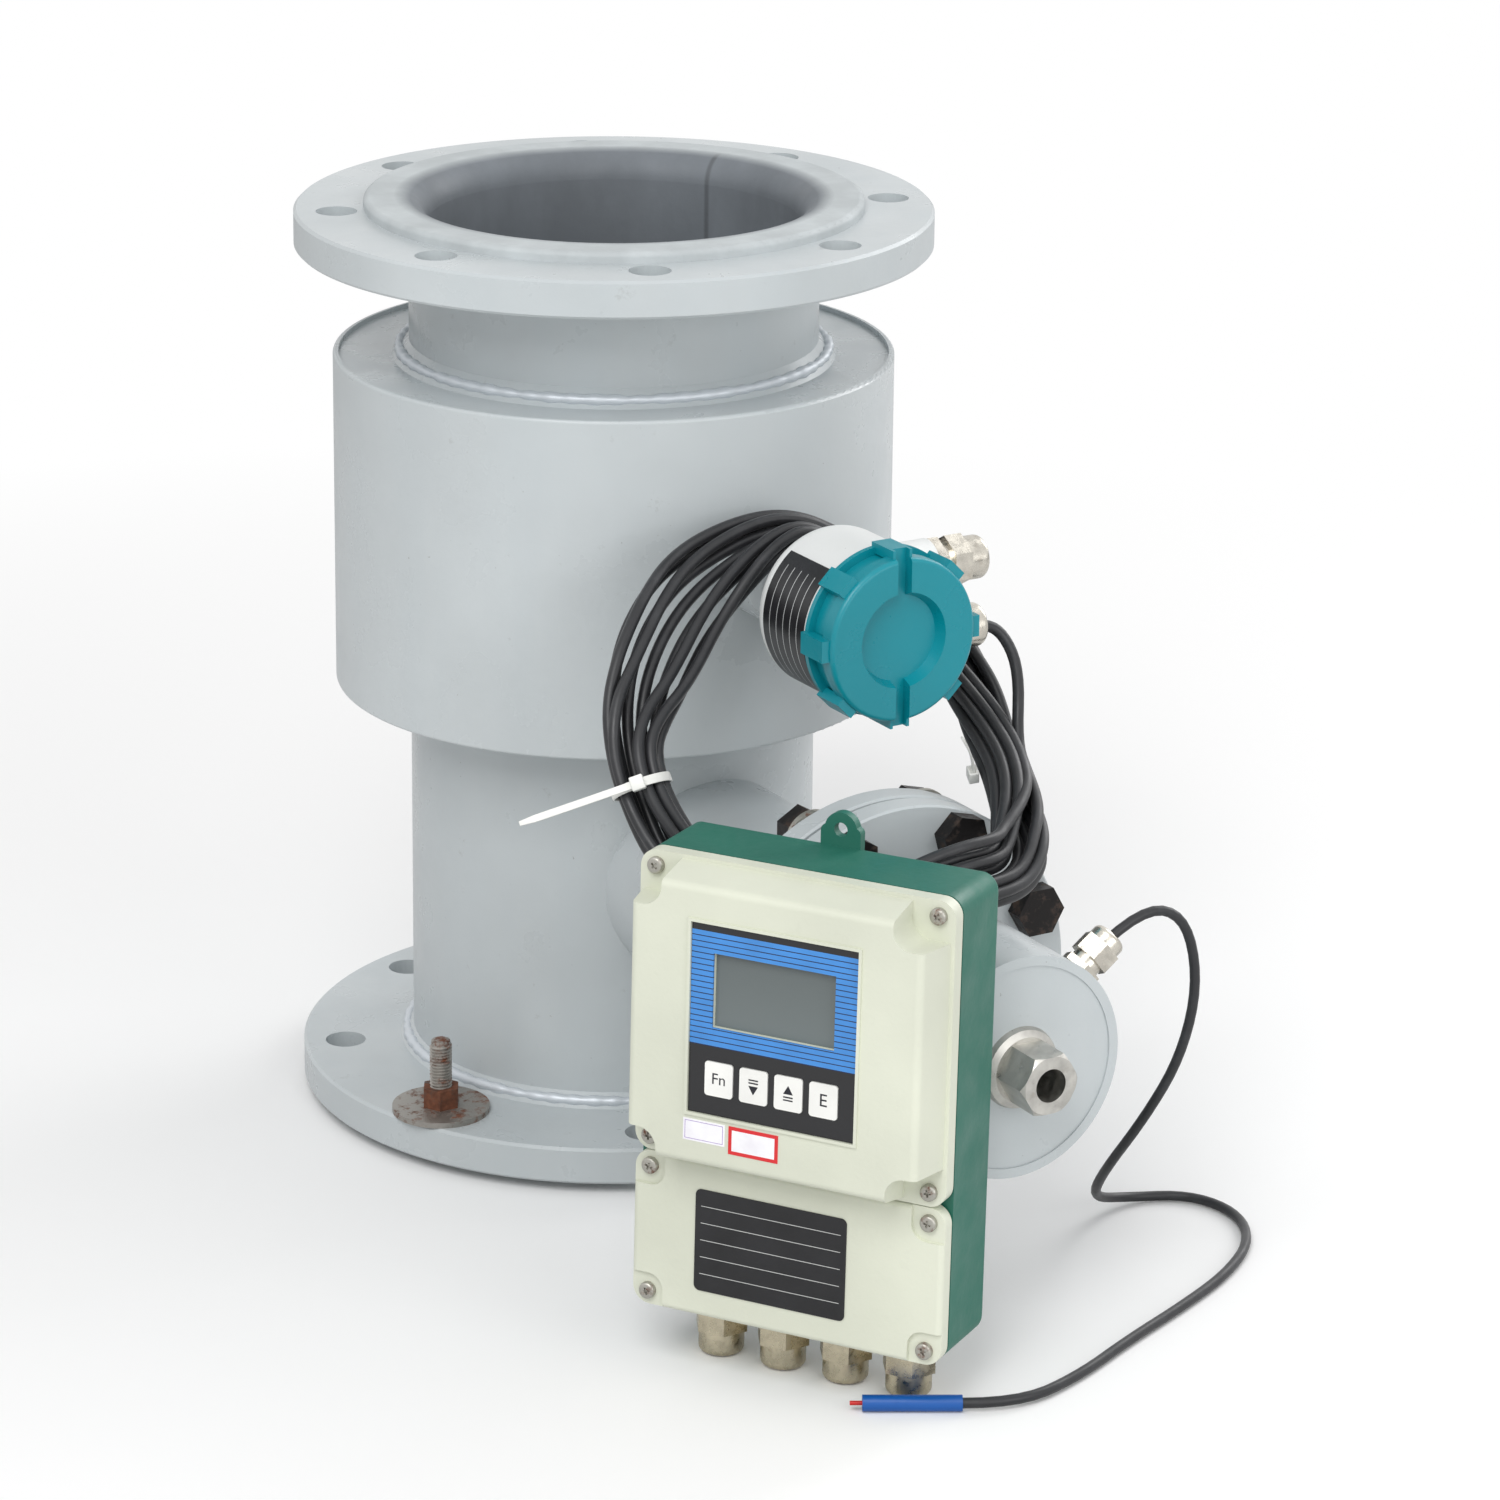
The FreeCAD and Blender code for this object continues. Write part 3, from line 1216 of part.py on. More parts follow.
def lower_cover():
    body = new_body("transmitter_lower_cover", meter_frame)
    plan = sketch_on(body, "XZ", cover_seat)
    rounded_rectangle(plan, -half_width, half_width, box_foot, lower_top, size.box_rounding)
    plate = pad(body, plan, size.lower_cover_depth)
    fillet(body, plate, flat_edges(plate, "Y", -lower_front), size.lower_edge_rounding)
    pads = sketch_on(body, "XZ", lower_front)
    corner_cuts(pads, box_foot, lower_top, size.lower_pad_size, size.lower_pad_size, size.lower_pad_rounding)
    pocket(body, pads, size.lower_pad_depth)
    hollow = sketch_on(body, "XZ", cover_seat)
    inset = size.lower_pad_size
    side = half_width - inset
    rectangle(hollow, -side, side, box_foot + inset, lower_top - inset)
    pocket(body, hollow, size.lower_cover_depth - size.lower_wall, reverse=True)
    holes = sketch_on(body, "XZ", lower_front)
    screw_circles(holes, size.screw_hole / 2, box_foot, lower_top)
    pocket(body, holes, size.lower_cover_depth)


def cover_gaskets():
    body = new_body("cover_gaskets", meter_frame, group=True)
    sketch = sketch_on(body, "XZ", box_front)
    for low, high in ((box_foot, lower_top), (upper_foot, box_top)):
        for inset in (size.cover_gasket_inset, size.cover_gasket_inset + size.cover_gasket_width):
            side = half_width - inset
            rounded_rectangle(sketch, -side, side, low + inset, high - inset, size.box_rounding - inset)
    pad(body, sketch, size.cover_gasket)


def cover_screws():
    """Four screws for each cover: round heads on the seat and shanks into the box bosses."""
    body = new_body("cover_screws", meter_frame, group=True)
    lower_seat = lower_front - size.lower_pad_depth
    for low, high, seat in ((upper_foot, box_top, rim_front), (box_foot, lower_top, lower_seat)):
        heads = sketch_on(body, "XZ", seat)
        screw_circles(heads, size.screw_head / 2, low, high)
        shanks = sketch_on(body, "XZ", seat)
        screw_circles(shanks, size.screw_shank / 2, low, high)
        top = pad(body, heads, size.screw_head_thickness)
        crest = flat_edges(top, "Y", -(seat + size.screw_head_thickness))
        fillet(body, top, crest, size.screw_head_thickness * 0.45)
        pad(body, shanks, size.screw_length, reverse=True)


def panel():
    """Printed overlay in its framed seat, four keys in its openings and the display behind."""
    recess_floor = upper_front - size.panel_recess
    overlay = new_body("panel_overlay", meter_frame)
    sheet_sketch = sketch_on(overlay, "XZ", recess_floor)
    across = size.panel_width / 2 - size.key_gap
    up = size.panel_height / 2 - size.key_gap
    rectangle(sheet_sketch, -across, across, panel_middle - up, panel_middle + up)
    window_outline(sheet_sketch)
    key_half = size.key_width / 2
    key_rise = size.key_height / 2
    gap = size.key_gap
    for number in range(4):
        middle = size.key_pitch * (number - 1.5)
        rounded_rectangle(
            sheet_sketch, middle - key_half - gap, middle + key_half + gap,
            key_row - key_rise - gap, key_row + key_rise + gap, size.key_rounding + gap)
    pad(overlay, sheet_sketch, size.overlay_thickness)
    for number, name in enumerate(("function", "down", "up", "enter")):
        key = new_body("key_" + name, meter_frame)
        middle = size.key_pitch * (number - 1.5)
        cap = sketch_on(key, "XZ", recess_floor + size.key_float)
        rounded_rectangle(
            cap, middle - key_half, middle + key_half, key_row - key_rise, key_row + key_rise, size.key_rounding)
        pad(key, cap, size.key_thickness)


def plate_body(label, back, thickness, left, right, low, high, rounding=None):
    body = new_body(label, meter_frame)
    sketch = sketch_on(body, "XZ", back)
    if rounding is None:
        rectangle(sketch, left, right, low, high)
    else:
        rounded_rectangle(sketch, left, right, low, high, rounding)
    pad(body, sketch, thickness)
    return body


def transmitter_inside():
    half = size.window_width / 2 + size.display_margin
    rise = size.window_height / 2 + size.display_margin
    display_back = upper_ceiling - size.display_thickness
    plate_body("display_module", display_back, size.display_thickness, -half, half, window_middle - rise, window_middle + rise)
    across = size.board_width / 2
    up = size.board_height / 2
    thickness = size.board_thickness
    boards = new_body("circuit_boards", meter_frame, group=True)
    for back in (display_back - thickness, box_back + size.box_wall + size.board_standoff):
        sketch = sketch_on(boards, "XZ", back)
        rectangle(sketch, -across, across, upper_middle - up, upper_middle + up)
        pad(boards, sketch, thickness)
    strip_middle = box_foot + size.strip_rise
    strip = plate_body(
        "terminal_strip", box_back + size.box_wall, size.strip_depth, size.strip_length * -0.5, size.strip_length / 2,
        strip_middle - size.strip_height / 2, strip_middle + size.strip_height / 2)
    wells = sketch_on(strip, "XZ", box_back + size.box_wall + size.strip_depth)
    for number in range(10):
        circle(wells, size.strip_height * 0.18, size.strip_length * (number / 10 - 0.45), strip_middle)
    pocket(strip, wells, size.strip_depth / 4)


def transmitter_plates():
    middle = size.nameplate_shift
    level = (box_foot + lower_top) / 2
    plate_body(
        "nameplate", lower_front, size.nameplate_thickness, middle - size.nameplate_width / 2,
        middle + size.nameplate_width / 2, level - size.nameplate_height / 2, level + size.nameplate_height / 2,
        size.nameplate_rounding)
    top = panel_middle - size.panel_height / 2 - size.panel_frame - size.sticker_gap
    left = size.panel_width * -0.5 - size.sticker_gap
    next_left = left + size.sticker_width + size.sticker_gap
    stickers = new_body("cover_stickers", meter_frame, group=True)
    sketch = sketch_on(stickers, "XZ", upper_front)
    rectangle(sketch, left, left + size.sticker_width, top - size.sticker_height, top)
    rectangle(sketch, next_left, next_left + size.red_sticker_width, top - size.red_sticker_height, top)
    pad(stickers, sketch, size.sticker_thickness)


def transmitter():
    transmitter_box()
    upper_cover()
    lower_cover()
    cover_gaskets()
    cover_screws()
    panel()
    transmitter_inside()
    transmitter_plates()
    downwards = FreeCAD.Placement(FreeCAD.Vector(0, 0, box_foot.value), FreeCAD.Rotation(X_AXIS, 180))
    stations = [size.meter_gland_pitch * (number - 1.5) for number in range(4)]
    glands("transmitter", GLAND_SIZES, meter_frame * downwards, stations, [free_bore] * 4)


# ---------------------------------------------------------------- cables

# Places that the cables pass through, chosen by hand.
SENSOR_CABLE_ROUTE = [
    (66, -238, 315), (92, -238, 315), (108, -246, 301), (112, -262, 281), (95.8, -273.7, 259.9)]
LEVEL_CABLE_ROUTE = [
    (61.5, -382.5, 193.3), (88.5, -382.5, 213.7), (117, -386, 203), (125, -388, 164), (117, -384, 124),
    (104, -370, 88), (98, -338, 46), (114, -304, 16), (146, -288, 3.2), (178, -302, 3.2), (186, -334, 3.2),
    (170, -366, 3.2), (136, -392, 3.2), (94, -412, 3.2), (50, -430, 3.2), (4, -452, 3.2), (-38, -464, 4.4),
    (-61.6, -450.6, 4.4)]
COIL_PLACES = [
    (0, -181, 375.5), (-56, -185, 364.5), (-102, -207, 337), (-124, -232, 290), (-118, -267, 238), (-89, -318, 202),
    (-38, -341, 215), (10, -341, 224), (46, -337, 218), (72, -297, 242.5), (83, -254, 258.5), (87, -208, 301),
    (58, -187, 353)]
LEFT_TIE_SIDE = 3
RIGHT_TIE_SIDE = 9


def vector(place):
    return FreeCAD.Vector(*place)


def rounded_corner(before, corner, after):
    """Tangent arc at a corner of a route, its two ends and its radius."""
    back = (before - corner).normalize()
    ahead = (after - corner).normalize()
    half_turn = (math.pi - back.getAngle(ahead)) / 2
    reach = 0.45 * min(before.distanceToPoint(corner), corner.distanceToPoint(after))
    radius = reach / math.tan(half_turn)
    start = corner + back * reach
    end = corner + ahead * reach
    middle = corner + (back + ahead).normalize() * (radius / math.cos(half_turn) - radius)
    return Part.Arc(start, middle, end).toShape(), start, end, radius


def straight(start, end):
    return Part.LineSegment(start, end).toShape()


def rounded_route(places):
    """Straight runs joined by tangent arcs, as one wire, and the arcs' radii."""
    points = [vector(place) for place in places]
    edges = []
    radii = []
    last = points[0]
    for before, corner, after in zip(points, points[1:], points[2:]):
        arc, start, end, radius = rounded_corner(before, corner, after)
        edges += [straight(last, start), arc]
        radii.append(radius)
        last = end
    edges.append(straight(last, points[-1]))
    return Part.Wire(edges), radii


def rounded_loop(places):
    """Arcs and short straight runs of a closed route, in order."""
    points = [vector(place) for place in places]
    corners = [rounded_corner(*trio) for trio in zip(points[-1:] + points, points, points[1:] + points[:1])]
    edges = []
    for (arc, _, end, _), (_, start, _, _) in zip(corners, corners[1:] + corners[:1]):
        edges += [arc, straight(end, start)]
    return edges


def cable(label, places, diameter):
    """Plain round cable along its route; prints its length, radii and volume check."""
    route, radii = rounded_route(places)
    start = vector(places[0])
    section = Part.Wire(Part.makeCircle(diameter.value / 2, start, vector(places[1]) - start))
    feature = doc.addObject("Part::Feature", label)
    feature.Shape = route.makePipeShell([section], True, False, 2)
    node(feature, label)
    plain = route.Length * math.pi * diameter.value ** 2 / 4
    print("%s: length %.0f, radii %s, volume %.3f of plain" % (
        label, route.Length, [round(radius, 1) for radius in radii], feature.Shape.Volume / plain))


def cable_coil():
    """The hanging loops of spare cable as one round bundle, swept in two halves."""
    edges = rounded_loop(COIL_PLACES)
    half = 2 * (len(COIL_PLACES) // 2)
    pieces = []
    for run in (edges[:half], edges[half:]):
        start = run[0].valueAt(run[0].FirstParameter)
        heading = run[0].tangentAt(run[0].FirstParameter)
        section = Part.Wire(Part.makeCircle(size.bundle_radius.value, start, heading))
        pieces.append(Part.Wire(run).makePipeShell([section], True, False, 2))
    coil = doc.addObject("Part::Feature", "coil")
    coil.Shape = pieces[0].fuse(pieces[1])
    node(coil, "sensor_cable_coil")
    print("sensor_cable_coil: length of one loop %.0f" % sum(edge.Length for edge in edges))


def cable_tie(name, side, head_turn, tail):
    """Band around the coil at the middle of a side of its route, with its head and its cut or loose tail."""
    start, end = (vector(place) for place in COIL_PLACES[side:side + 2])
    centre = (start + end) / 2
    inner = size.bundle_radius + size.tie_gap
    outer = inner + size.tie_thickness
    low = FreeCAD.Vector(0, 0, -size.tie_width.value / 2)
    band = combine("Cut", name + "_band", cylinder(name + "_outside", outer, size.tie_width, low),
                   cylinder(name + "_inside", inner, size.tie_width, low))
    width = size.tie_head_width
    head_low = FreeCAD.Vector(inner.value, -width.value / 2, -width.value / 2)
    head = block(name + "_head", (size.tie_head_height, width, width), head_low)
    tail_low = FreeCAD.Vector(outer.value, 0, -size.tie_tail_width.value / 2)
    strip = block(name + "_tail", (size.tie_thickness, tail, size.tie_tail_width), tail_low)
    piece = combine("Fuse", name, band, head, strip)
    turn = FreeCAD.Placement(FreeCAD.Vector(), FreeCAD.Rotation(Z_AXIS, head_turn))
    piece.Placement = FreeCAD.Placement(centre, FreeCAD.Rotation(Z_AXIS, end - start)) * turn
    return piece


def cables():
    cable("sensor_cable_lead", SENSOR_CABLE_ROUTE, size.sensor_cable_diameter)
    cable_coil()
    left = cable_tie("left_tie", LEFT_TIE_SIDE, 150, size.tie_long_tail)
    right = cable_tie("right_tie", RIGHT_TIE_SIDE, -30, size.tie_short_tail)
    node(combine("Fuse", "ties", left, right), "cable_ties")
    cable("level_cable", LEVEL_CABLE_ROUTE, size.level_cable_diameter)
    end = vector(LEVEL_CABLE_ROUTE[-1])
    heading = (end - vector(LEVEL_CABLE_ROUTE[-2])).normalize()
    start = end + heading * size.sleeve_gap.value
    node(cylinder("sleeve", size.sleeve_diameter / 2, size.sleeve_length, start, heading), "cable_sleeve")
    tip_start = start + heading * size.sleeve_length.value
    node(cylinder("tip", size.tip_diameter / 2, size.tip_length, tip_start, heading), "conductor_tip")


# ---------------------------------------------------------------- build and export

measuring_tube()
rubber_liner()
pipe_flanges()
coil_housing()
magnet_system()
electrodes()
junction_box()
level_branch()
flange_stud()
transmitter()
cables()
doc.recompute()

for item in doc.Objects:
    if "Invalid" in item.State or "Error" in item.State:
        raise RuntimeError("%s did not recompute: %s" % (item.Name, item.State))
for item in NODES:
    if not item.Shape.isValid() or not item.Shape.Solids:
        raise RuntimeError("%s is not a valid solid" % item.Label)
    item.Shape.exportStep("parts/%s.step" % item.Label)
print("%d sub-parts exported" % len(NODES))
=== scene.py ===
"""Looks of an electromagnetic flow meter: finishes for the frame's pieces, and the pieces shaped here."""

import json
import math

import bmesh
import bpy
from mathutils import Matrix, Vector


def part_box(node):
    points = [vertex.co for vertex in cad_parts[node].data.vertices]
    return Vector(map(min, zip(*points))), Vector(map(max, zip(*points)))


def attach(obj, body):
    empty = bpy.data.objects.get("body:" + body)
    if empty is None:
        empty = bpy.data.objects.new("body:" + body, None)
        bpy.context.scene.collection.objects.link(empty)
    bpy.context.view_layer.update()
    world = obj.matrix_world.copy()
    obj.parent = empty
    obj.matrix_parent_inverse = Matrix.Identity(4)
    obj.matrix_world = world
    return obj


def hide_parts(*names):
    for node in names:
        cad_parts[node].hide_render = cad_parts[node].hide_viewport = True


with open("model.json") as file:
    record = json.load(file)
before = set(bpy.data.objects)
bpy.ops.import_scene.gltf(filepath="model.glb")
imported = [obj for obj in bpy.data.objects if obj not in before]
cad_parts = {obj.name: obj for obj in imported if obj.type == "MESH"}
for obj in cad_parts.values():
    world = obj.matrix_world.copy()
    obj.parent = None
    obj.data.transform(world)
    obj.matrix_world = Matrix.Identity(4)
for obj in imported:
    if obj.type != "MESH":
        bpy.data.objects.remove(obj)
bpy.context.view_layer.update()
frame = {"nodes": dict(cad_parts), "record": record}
MOUNTS = {mount["name"]: mount for mount in frame["record"]["mounts"]}

bl_info = {
    "name": "Electromagnetic flow meter",
    "version": (1, 0, 0),
    "blender": (4, 5, 0),
    "location": "View3D > Sidebar > Flow meter",
    "description": "Finishes and fine pieces of a flow meter with its transmitter",
    "category": "Object",
}

MM = 0.001


def linear(red, green, blue):
    """Scene-linear colour of a display colour given from 0 to 255."""
    values = []
    for value in (red / 255, green / 255, blue / 255):
        values.append(value / 12.92 if value <= 0.04045 else ((value + 0.055) / 1.055) ** 2.4)
    return tuple(values)


def colour_property(name, description, red, green, blue):
    return bpy.props.FloatVectorProperty(name=name, description=description, subtype="COLOR", size=3,
                                         min=0, max=1, default=linear(red, green, blue))


def length_property(name, description, millimetres):
    return bpy.props.FloatProperty(name=name, description=description, subtype="DISTANCE", unit="LENGTH",
                                   min=0, default=millimetres * MM)


class MeterColours(bpy.types.PropertyGroup):
    """Colours of the finishes."""

    paint: colour_property("Grey paint", "Paint of the pipe, flanges and housings", 194, 200, 202)
    liner: colour_property("Liner", "Rubber lining of the bore", 122, 128, 134)
    junction: colour_property("Junction box", "Paint of the round box", 226, 228, 227)
    teal: colour_property("Screw cover", "Paint of the round screw cover", 0, 136, 150)
    gasket: colour_property("Cover seal", "Ring between the round box and its cover", 205, 90, 60)
    green: colour_property("Back box", "Paint of the transmitter's back box", 32, 104, 88)
    cream: colour_property("Covers", "Paint of the transmitter's covers", 217, 220, 203)
    blue: colour_property("Panel blue", "Printed field around the display", 62, 138, 214)
    navy: colour_property("Panel lines", "Fine lines on the blue field", 10, 28, 66)
    black: colour_property("Print black", "Printed black of the panel and the plates", 24, 24, 27)
    display: colour_property("Display", "Switched-off display", 104, 112, 112)
    cable: colour_property("Cable", "Rubber sheath of the cables", 34, 35, 38)
    sleeve: colour_property("Sleeve", "Shrunk sleeve on the cable end", 18, 88, 168)
    nickel: colour_property("Nickel", "Plating of the meter's glands", 212, 207, 196)
    brass: colour_property("Brass", "Plating of the transmitter's glands", 208, 198, 174)
    rust: colour_property("Rust", "Rust on the old stud and bolts", 108, 66, 46)
    oxide: colour_property("Black oxide", "Finish of the branch bolts", 44, 42, 42)
    zinc: colour_property("Zinc", "Finish of washers and screws", 176, 174, 166)


class MeterSizes(bpy.types.PropertyGroup):
    """Sizes of the fine pieces."""

    bead: length_property("Weld bead", "Half the height of a weld bead", 2.8)
    thread_pitch: length_property("Stud pitch", "Pitch of the stud's thread", 1.75)
    thread_depth: length_property("Thread depth", "Depth of the stud's thread", 0.9)
    recess_width: length_property("Recess width", "Width of the cross recess in a screw", 1.1)
    recess_depth: length_property("Recess depth", "Depth of the cross recess in a screw", 1.3)
    legend_rise: length_property("Legend rise", "Thickness of the printed legends", 0.06)
    sensor_cable: length_property("Sensor cable", "Thickness of the coiled cable", 6)
    level_cable: length_property("Level cable", "Thickness of the level sensor's cable", 5.2)
    turns: bpy.props.IntProperty(name="Turns", description="Turns in the hanging coil",
                                 min=2, max=14, default=10)


# ---------------------------------------------------------------- materials

class Finish:
    """A node material while it is being wired, in object coordinates."""

    def __init__(self, name, roughness=0.5, metallic=0.0, **values):
        self.material = bpy.data.materials.new(name)
        self.material.use_nodes = True
        self.tree = self.material.node_tree
        self.surface = self.tree.nodes["Principled BSDF"]
        self.place = self.add("ShaderNodeTexCoord").outputs["Object"]
        self.feed("Roughness", roughness)
        self.feed("Metallic", metallic)
        for socket, value in values.items():
            self.feed(socket.replace("_", " "), value)

    def add(self, kind, **settings):
        node = self.tree.nodes.new(kind)
        for name, value in settings.items():
            setattr(node, name, value)
        return node

    def plug(self, socket, value):
        if isinstance(value, bpy.types.NodeSocket):
            self.tree.links.new(value, socket)
        elif hasattr(value, "__len__") and len(value) == 3 and socket.type == "RGBA":
            socket.default_value = (*value, 1)
        else:
            socket.default_value = value

    def feed(self, name, value):
        self.plug(self.surface.inputs[name], value)

    def noise(self, scale, detail, roughness=0.55, stretch=None):
        node = self.add("ShaderNodeTexNoise")
        node.inputs["Scale"].default_value = scale
        node.inputs["Detail"].default_value = detail
        node.inputs["Roughness"].default_value = roughness
        place = self.place
        if stretch is not None:
            mapping = self.add("ShaderNodeMapping")
            mapping.inputs["Scale"].default_value = stretch
            self.plug(mapping.inputs["Vector"], place)
            place = mapping.outputs["Vector"]
        self.plug(node.inputs["Vector"], place)
        return node.outputs["Fac"]

    def span(self, source, low, high, to_low=0.0, to_high=1.0):
        """The source's range, stretched to another range and kept within it."""
        node = self.add("ShaderNodeMapRange", clamp=True)
        self.plug(node.inputs["Value"], source)
        ends = {"From Min": low, "From Max": high, "To Min": to_low, "To Max": to_high}
        for socket, value in ends.items():
            node.inputs[socket].default_value = value
        return node.outputs["Result"]

    def mix(self, factor, first, second):
        node = self.add("ShaderNodeMix", data_type="RGBA")
        self.plug(node.inputs["Factor"], factor)
        self.plug(node.inputs[6], first)
        self.plug(node.inputs[7], second)
        return node.outputs[2]

    def math(self, operation, first, second=0.0):
        node = self.add("ShaderNodeMath", operation=operation)
        self.plug(node.inputs[0], first)
        self.plug(node.inputs[1], second)
        return node.outputs[0]

    def within(self, source, low, high):
        """One where the source lies between two values, else nothing."""
        above = self.math("GREATER_THAN", source, low)
        below = self.math("LESS_THAN", source, high)
        return self.math("MULTIPLY", above, below)

    def ruled(self, source, low, high, rows, share):
        """One on the thin rules that part a stretch into rows."""
        row = self.math("DIVIDE", self.math("SUBTRACT", source, low), (high - low) / rows)
        return self.math("LESS_THAN", self.math("FRACT", row), share)

    def mottled(self, colour, dark, pale, scale, detail=4.0, low=0.3, high=0.7):
        """A colour that wavers between a darker and a paler tone."""
        cloud = self.span(self.noise(scale, detail), low, high)
        return self.mix(cloud, shade(colour, dark), shade(colour, pale))

    def uneven_gloss(self, low, high, scale, detail=4.0):
        """Roughness that wavers between two values."""
        self.feed("Roughness", self.span(self.noise(scale, detail), 0.3, 0.7, low, high))

    def along(self, direction, origin=(0, 0, 0)):
        """Distance of the surface point from a place, along a direction."""
        shift = self.add("ShaderNodeVectorMath", operation="SUBTRACT")
        self.plug(shift.inputs[0], self.place)
        shift.inputs[1].default_value = origin
        dot = self.add("ShaderNodeVectorMath", operation="DOT_PRODUCT")
        self.plug(dot.inputs[0], shift.outputs[0])
        dot.inputs[1].default_value = direction
        return dot.outputs["Value"]

    def radius(self):
        """Distance from the measuring tube's axis."""
        flat = self.add("ShaderNodeVectorMath", operation="MULTIPLY")
        self.plug(flat.inputs[0], self.place)
        flat.inputs[1].default_value = (1, 1, 0)
        length = self.add("ShaderNodeVectorMath", operation="LENGTH")
        self.plug(length.inputs[0], flat.outputs[0])
        return length.outputs["Value"]

    def bump(self, height, strength, distance):
        node = self.add("ShaderNodeBump")
        node.inputs["Strength"].default_value = strength
        node.inputs["Distance"].default_value = distance
        self.plug(node.inputs["Height"], height)
        self.feed("Normal", node.outputs["Normal"])


def shade(colour, factor):
    """The colour made darker or paler."""
    return tuple(min(1.0, value * factor) for value in colour)


def painted(name, colour, roughness, peel, dirt, grime=(96, 92, 84)):
    """Sprayed paint: faint cloudiness, orange peel and a few rubbed, dusty marks."""
    finish = Finish(name, Specular_IOR_Level=0.5)
    body = finish.mottled(colour, 0.93, 1.05, 9, 3, 0.35, 0.65)
    marks = finish.span(finish.noise(55, 6, 0.7), 0.62, 0.74, 0, dirt)
    body = finish.mix(marks, body, linear(*grime))
    specks = finish.span(finish.noise(420, 2), 0.72, 0.78, 0, dirt)
    finish.feed("Base Color", finish.mix(specks, body, linear(*grime)))
    finish.uneven_gloss(roughness * 0.8, roughness * 1.35, 40)
    finish.bump(finish.noise(300, 2), peel, 0.0006)
    return finish.material


def grey_paint(colours):
    """Paint of the meter, with a bluish cast in its thin places and dull overspray."""
    finish = Finish("grey_paint")
    body = finish.mottled(colours.paint, 0.9, 1.06, 6)
    runs = finish.span(finish.noise(22, 5, 0.6, stretch=(1, 1, 0.15)), 0.4, 0.75, 0, 0.35)
    body = finish.mix(runs, body, linear(184, 193, 197))
    scuffs = finish.span(finish.noise(48, 8, 0.72), 0.64, 0.72, 0, 0.4)
    body = finish.mix(scuffs, body, linear(150, 152, 150))
    specks = finish.span(finish.noise(260, 3), 0.74, 0.79, 0, 0.6)
    finish.feed("Base Color", finish.mix(specks, body, linear(110, 104, 96)))
    gloss = finish.noise(18, 5, 0.6)
    finish.feed("Roughness", finish.span(gloss, 0.3, 0.72, 0.2, 0.46))
    finish.bump(finish.math("ADD", finish.noise(150, 3), finish.noise(20, 2)), 0.16, 0.0008)
    return finish.material


def liner_rubber(colours):
    """Grey rubber with chalky smears; the folded lips carry overspray of the flange paint."""
    finish = Finish("liner_rubber")
    chalk = finish.span(finish.noise(12, 6, 0.6, stretch=(1, 1, 0.5)), 0.4, 0.74, 0.1, 0.6)
    body = finish.mix(chalk, shade(colours.liner, 0.66), shade(colours.liner, 1.3))
    from_seam = finish.math("ABSOLUTE", finish.along((0.5, -0.866, 0)))
    seam = finish.span(from_seam, 0.6 * MM, 2 * MM, 0.5, 0)
    seam_side = finish.span(finish.along((0.866, 0.5, 0)), 0, 1 * MM)
    body = finish.mix(finish.math("MULTIPLY", seam, seam_side), body, linear(60, 62, 64))
    lip = finish.span(finish.radius(), 108 * MM, 117 * MM)
    overspray = finish.mottled(colours.paint, 0.86, 1.02, 34, 5, 0.4, 0.66)
    finish.feed("Base Color", finish.mix(lip, body, overspray))
    finish.uneven_gloss(0.5, 0.75, 24)
    finish.bump(finish.noise(90, 6, 0.6), 0.3, 0.0008)
    return finish.material


def metal(name, colour, roughness, stain=(90, 70, 48), stained=0.2):
    """Plated or bare metal with fine scratches and stains."""
    finish = Finish(name, metallic=1.0)
    body = finish.mottled(colour, 0.75, 1.08, 120, 5)
    stains = finish.span(finish.noise(204, 6, 0.7), 0.56, 0.7, 0, stained)
    finish.feed("Base Color", finish.mix(stains, body, linear(*stain)))
    finish.uneven_gloss(roughness * 0.75, roughness * 1.5, 240)
    finish.bump(finish.noise(720, 3), 0.15, 0.0003)
    return finish.material


def rusty(name, bare, rust, amount):
    """Steel that is partly rusted: dull brown crust over bare metal."""
    finish = Finish(name)
    crust = finish.span(finish.noise(130, 8, 0.7), 0.62 - amount * 0.35, 0.72 - amount * 0.3)
    finish.feed("Base Color", finish.mix(crust, bare, finish.mottled(rust, 0.6, 1.35, 300)))
    finish.feed("Metallic", finish.span(crust, 0, 1, 0.85, 0.1))
    finish.feed("Roughness", finish.span(crust, 0, 1, 0.42, 0.85))
    finish.bump(finish.noise(420, 5), 0.4, 0.0004)
    return finish.material


def plastic(name, colour, roughness=0.4, grain=400, depth=0.1):
    """Moulded plastic or printed film with a faint grain."""
    finish = Finish(name)
    finish.feed("Base Color", finish.mottled(colour, 0.94, 1.04, 30, 4, 0.35, 0.65))
    finish.uneven_gloss(roughness * 0.85, roughness * 1.2, 80, 3)
    finish.bump(finish.noise(grain, 3), depth, 0.0003)
    return finish.material


def cable_rubber(colours):
    """Black sheath with a soft sheen, dusty in places."""
    finish = Finish("cable_rubber", Sheen_Weight=0.05)
    dust = finish.span(finish.noise(40, 6, 0.65), 0.5, 0.75, 0, 0.3)
    finish.feed("Base Color", finish.mix(dust, colours.cable, linear(82, 84, 88)))
    finish.uneven_gloss(0.34, 0.52, 60)
    finish.bump(finish.noise(500, 3), 0.12, 0.0002)
    return finish.material


